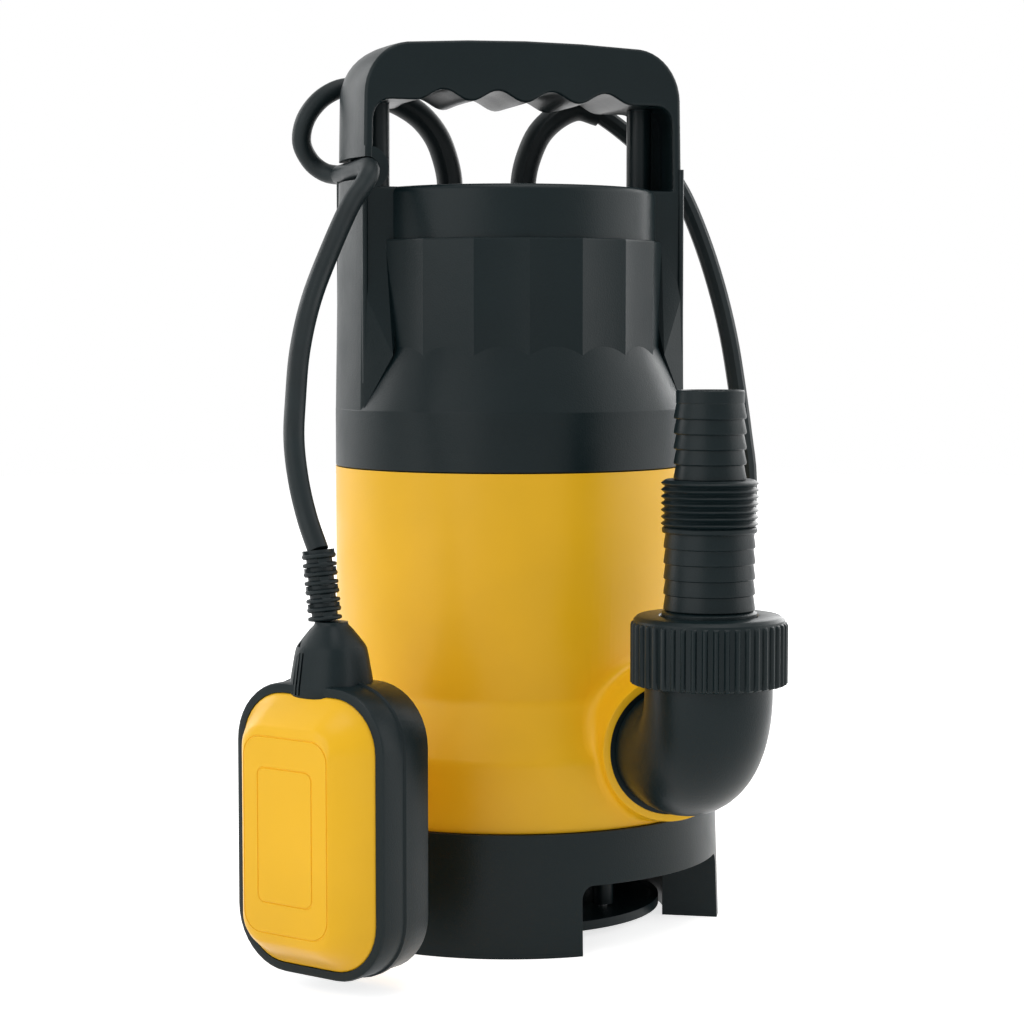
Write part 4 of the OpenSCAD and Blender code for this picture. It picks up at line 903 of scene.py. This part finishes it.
class Finish:
    """A finish being made: its nodes, its shader, and patterns that read the place on the piece."""

    def __init__(self, name, metallic=0.0, specular=0.5):
        self.material = bpy.data.materials.new(name)
        self.material.use_nodes = True
        self.tree = self.material.node_tree
        self.shader = self.tree.nodes["Principled BSDF"]
        self.shader.inputs["Metallic"].default_value = metallic
        self.shader.inputs["Specular IOR Level"].default_value = specular
        self.place = self.node("ShaderNodeTexCoord").outputs["Object"]
        self.normal = None

    def node(self, kind, **settings):
        made = self.tree.nodes.new(kind)
        for key, value in settings.items():
            setattr(made, key, value)
        return made

    def link(self, source, target):
        self.tree.links.new(source, target)

    def noise(self, scale, detail=2.0, stretch=(1, 1, 1)):
        """A cloudy pattern from 0 to 1."""
        mapping = self.node("ShaderNodeMapping")
        mapping.inputs["Scale"].default_value = stretch
        self.link(self.place, mapping.inputs["Vector"])
        made = self.node("ShaderNodeTexNoise")
        made.inputs["Scale"].default_value = scale
        made.inputs["Detail"].default_value = detail
        self.link(mapping.outputs["Vector"], made.inputs["Vector"])
        return made.outputs["Fac"]

    def bands(self, scale, axis="Z"):
        """Straight lines across an axis, from 0 to 1."""
        made = self.node("ShaderNodeTexWave", wave_type="BANDS", bands_direction=axis)
        made.inputs["Scale"].default_value = scale
        self.link(self.place, made.inputs["Vector"])
        return made.outputs["Fac"]

    def spread(self, value, low, high, start=0.3, end=0.7):
        """Maps a pattern's start and end to low and high."""
        made = self.node("ShaderNodeMapRange")
        for socket, number in zip(("From Min", "From Max", "To Min", "To Max"), (start, end, low, high)):
            made.inputs[socket].default_value = number
        self.link(value, made.inputs["Value"])
        return made.outputs["Result"]

    def times(self, a, b):
        made = self.node("ShaderNodeMath", operation="MULTIPLY")
        self.link(a, made.inputs[0])
        self.link(b, made.inputs[1])
        return made.outputs["Value"]

    def blend(self, share, low, high):
        """Mixes two colours. Low may be a pattern."""
        made = self.node("ShaderNodeMix", data_type="RGBA")
        self.link(share, made.inputs["Factor"])
        for socket, value in ((made.inputs[6], low), (made.inputs[7], high)):
            if isinstance(value, tuple):
                socket.default_value = (*value, 1)
            else:
                self.link(value, socket)
        return made.outputs[2]

    def edges(self, radius):
        """1 along sharp edges and 0 on flat ground."""
        soft = self.node("ShaderNodeBevel", samples=4)
        soft.inputs["Radius"].default_value = radius * MM
        dot = self.node("ShaderNodeVectorMath", operation="DOT_PRODUCT")
        self.link(soft.outputs["Normal"], dot.inputs[0])
        self.link(self.node("ShaderNodeNewGeometry").outputs["Normal"], dot.inputs[1])
        return self.spread(dot.outputs["Value"], 1.0, 0.0, 0.80, 0.995)

    def raise_by(self, height, depth, strength=1.0):
        """Adds relief of a depth in millimetres."""
        made = self.node("ShaderNodeBump")
        made.inputs["Strength"].default_value = strength
        made.inputs["Distance"].default_value = depth * MM
        self.link(height, made.inputs["Height"])
        if self.normal:
            self.link(self.normal, made.inputs["Normal"])
        self.normal = made.outputs["Normal"]

    def finish(self, colour, roughness):
        for source, socket in ((colour, "Base Color"), (roughness, "Roughness"), (self.normal, "Normal")):
            if source:
                self.link(source, self.shader.inputs[socket])
        return self.material


def shade(colour, factor):
    return tuple(c * factor for c in colour)


def moulded(name, colour, edge_highlight_colour, roughness, grain, depth, specular=0.5, edge_highlight_share=0.35):
    """Moulded plastic: faint flow marks, an even spark-eroded grain, and a painted highlight that makes the edges
    paler in patches.
    """
    made = Finish(name, specular=specular)
    flow = made.blend(made.spread(made.noise(14, 3), 0, 1), shade(colour, 0.93), shade(colour, 1.07))
    # Painted highlight: sharp edges are blended in patches towards a paler colour, as if they caught light.
    painted_edge_highlight = made.times(made.edges(0.7), made.spread(made.noise(160, 4), 0, edge_highlight_share, 0.35, 0.75))
    made.raise_by(made.noise(grain, 2), depth)
    made.raise_by(made.noise(9, 2), 0.25, 0.5)
    return made.finish(made.blend(painted_edge_highlight, flow, edge_highlight_colour),
                       made.spread(made.noise(45, 3), roughness - 0.05, roughness + 0.06))


def cord_rubber(name, colour, roughness):
    """Extruded rubber: dull patches where it was handled, and a very fine skin."""
    made = Finish(name, specular=0.22)
    patches = made.noise(70, 4)
    made.raise_by(made.noise(1500, 2), 0.03)
    made.raise_by(made.noise(120, 3), 0.08, 0.6)
    return made.finish(made.blend(made.spread(patches, 0, 1), shade(colour, 0.85), shade(colour, 1.35)),
                       made.spread(made.noise(50, 3), roughness - 0.07, roughness + 0.1))


def ground_metal(name, colour, roughness, stretch=(1, 1, 18), depth=0.01):
    """Ground or drawn metal, with fine lines one way."""
    made = Finish(name, metallic=1.0)
    lines = made.noise(700, 2, stretch)
    made.raise_by(lines, depth)
    return made.finish(made.blend(made.spread(lines, 0, 1), shade(colour, 0.85), shade(colour, 1.1)),
                       made.spread(made.noise(90, 3), roughness - 0.08, roughness + 0.1))


def stacked_steel(name, colour):
    """Sheet steel laminations under varnish, half a millimetre each."""
    made = Finish(name, metallic=0.9)
    sheets = made.bands(1000)
    made.raise_by(sheets, 0.1)
    return made.finish(made.blend(made.spread(sheets, 0, 1, 0, 1), shade(colour, 0.5), colour),
                       made.spread(made.noise(60, 3), 0.35, 0.55))


def wound_wire(name, colour):
    """Varnished copper wire, wound in turns."""
    made = Finish(name, metallic=0.8)
    turns = made.noise(420, 1, (1, 1, 0.15))
    made.raise_by(turns, 0.4)
    return made.finish(made.blend(made.spread(turns, 0, 1), shade(colour, 0.45), shade(colour, 1.2)),
                       made.spread(made.noise(80, 3), 0.25, 0.45))


BLACK = (0.0042, 0.0105, 0.0122)
# The third colour of each moulded finish is the paler colour of its painted edge highlight.
finishes = {
    "black_plastic": moulded("black_satin_plastic", BLACK, (0.045, 0.055, 0.058), 0.34, 1700, 0.06, 0.17),
    "yellow_plastic": moulded("yellow_casing_plastic", (0.89, 0.495, 0.012), (0.94, 0.60, 0.08), 0.36, 1100, 0.012,
                              0.3, 0.25),
    "black_rubber": cord_rubber("black_cord_rubber", (0.0055, 0.0105, 0.012), 0.46),
    "steel": ground_metal("ground_steel", (0.62, 0.63, 0.64), 0.24),
    "core_steel": stacked_steel("varnished_laminations", (0.3, 0.31, 0.33)),
    "winding": wound_wire("varnished_winding_wire", (0.55, 0.22, 0.08)),
    "aluminium": ground_metal("cast_aluminium", (0.6, 0.61, 0.62), 0.45, (1, 1, 1), 0.05),
    "ivory_plastic": moulded("ivory_plastic", (0.75, 0.70, 0.58), (0.82, 0.78, 0.68), 0.4, 900, 0.01),
    "plug_brass": ground_metal("plated_brass", (0.75, 0.6, 0.3), 0.2, (18, 1, 1)),
}


def dress(piece, slot):
    """Gives a piece the finish of a slot."""
    piece.data.materials.clear()
    piece.data.materials.append(finishes[slot])


slot_of = {part["node"]: part["material_slot"] for part in frame["record"]["subparts"]}
for node_name, node in frame["nodes"].items():
    dress(node, slot_of[node_name])


def stand_for(piece, body, *nodes):
    """Puts a finished piece on its body in place of its nodes, in their finish."""
    dress(piece, slot_of[nodes[0]])
    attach(piece, body)
    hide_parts(*nodes)


# ---- The pieces ----

stand_for(model_casing(), "housing", "outer_casing")
stand_for(model_base(), "housing", "base_strainer")
stand_for(model_cover(), "housing", "top_cover")
stand_for(model_elbow(), "elbow", "discharge_elbow")
stand_for(model_nut(), "nut", "union_nut")
stand_for(model_adapter(), "adapter", "hose_adapter")
stand_for(model_float_frame(), "float", "float_frame")
stand_for(model_float_shell("float_front_panel", True), "float", "float_front_shell")
stand_for(model_float_shell("float_rear_panel", False), "float", "float_rear_shell")
stand_for(model_float_collar(), "float", "float_collar")
stand_for(model_bellows(), "float", "float_bellows")
stand_for(model_sleeve("power_bend_sleeve", power_sleeve_route), "housing", "power_cable_sleeve")
stand_for(model_sleeve("float_bend_sleeve", float_sleeve_route), "housing", "float_cable_sleeve")
for cord in (power_cord, float_cable):
    tidy(cord)
    dress(cord, "black_rubber")


# ---- Light and floor ----

def add_lamp(name, at, size, power, aim=(0, 0, 0.15)):
    """A soft square lamp that faces the pump."""
    data = bpy.data.lights.new(name, "AREA")
    data.size = size
    data.energy = power
    lamp = bpy.data.objects.new(name, data)
    bpy.context.scene.collection.objects.link(lamp)
    lamp.location = at
    lamp.rotation_mode = "QUATERNION"
    lamp.rotation_quaternion = (Vector(aim) - Vector(at)).to_track_quat("-Z", "Y")


add_lamp("front_left", (-1.7, -0.9, 0.8), 1.9, 16)
add_lamp("right", (1.8, -0.5, 0.7), 1.7, 15)
add_lamp("above", (0.1, -0.3, 1.8), 1.2, 9)
add_lamp("rear_left", (-1.2, 1.2, 0.8), 1.2, 12)
add_lamp("rear_right", (1.3, 1.2, 0.8), 1.2, 12)


def seen_share(tree):
    """1 for rays that show the background to the camera, in metal or through glass."""
    path = tree.nodes.new("ShaderNodeLightPath")
    share = path.outputs["Is Camera Ray"]
    for output in ("Is Glossy Ray", "Is Transmission Ray"):
        most = tree.nodes.new("ShaderNodeMath")
        most.operation = "MAXIMUM"
        tree.links.new(share, most.inputs[0])
        tree.links.new(path.outputs[output], most.inputs[1])
        share = most.outputs["Value"]
    return share


def light_world():
    world = bpy.data.worlds.new("studio")
    world.use_nodes = True
    bpy.context.scene.world = world
    tree = world.node_tree
    background = tree.nodes["Background"]
    background.inputs["Color"].default_value = (1, 1, 1, 1)
    strength = tree.nodes.new("ShaderNodeMapRange")
    strength.inputs["To Min"].default_value = 0.34
    strength.inputs["To Max"].default_value = 1.0
    tree.links.new(seen_share(tree), strength.inputs["Value"])
    tree.links.new(strength.outputs["Result"], background.inputs["Strength"])


def add_floor():
    """A pale studio floor that keeps the pump's shadow."""
    clear()
    bpy.ops.mesh.primitive_circle_add(vertices=96, radius=3, fill_type="NGON")
    floor = bpy.context.object
    floor.name = "studio_floor"
    material = bpy.data.materials.new("studio_floor_paint")
    material.use_nodes = True
    tree = material.node_tree
    shader = tree.nodes["Principled BSDF"]
    shader.inputs["Base Color"].default_value = (0.92, 0.92, 0.92, 1)
    shader.inputs["Roughness"].default_value = 0.9
    shader.inputs["Specular IOR Level"].default_value = 0.1
    shader.inputs["Emission Color"].default_value = (1, 1, 1, 1)
    lift = tree.nodes.new("ShaderNodeMath")
    lift.operation = "MULTIPLY"
    lift.inputs[1].default_value = 0.72
    tree.links.new(seen_share(tree), lift.inputs[0])
    tree.links.new(lift.outputs["Value"], shader.inputs["Emission Strength"])
    floor.data.materials.append(material)


light_world()
add_floor()
bpy.context.scene.view_settings.view_transform = "Standard"

bpy.context.view_layer.update()
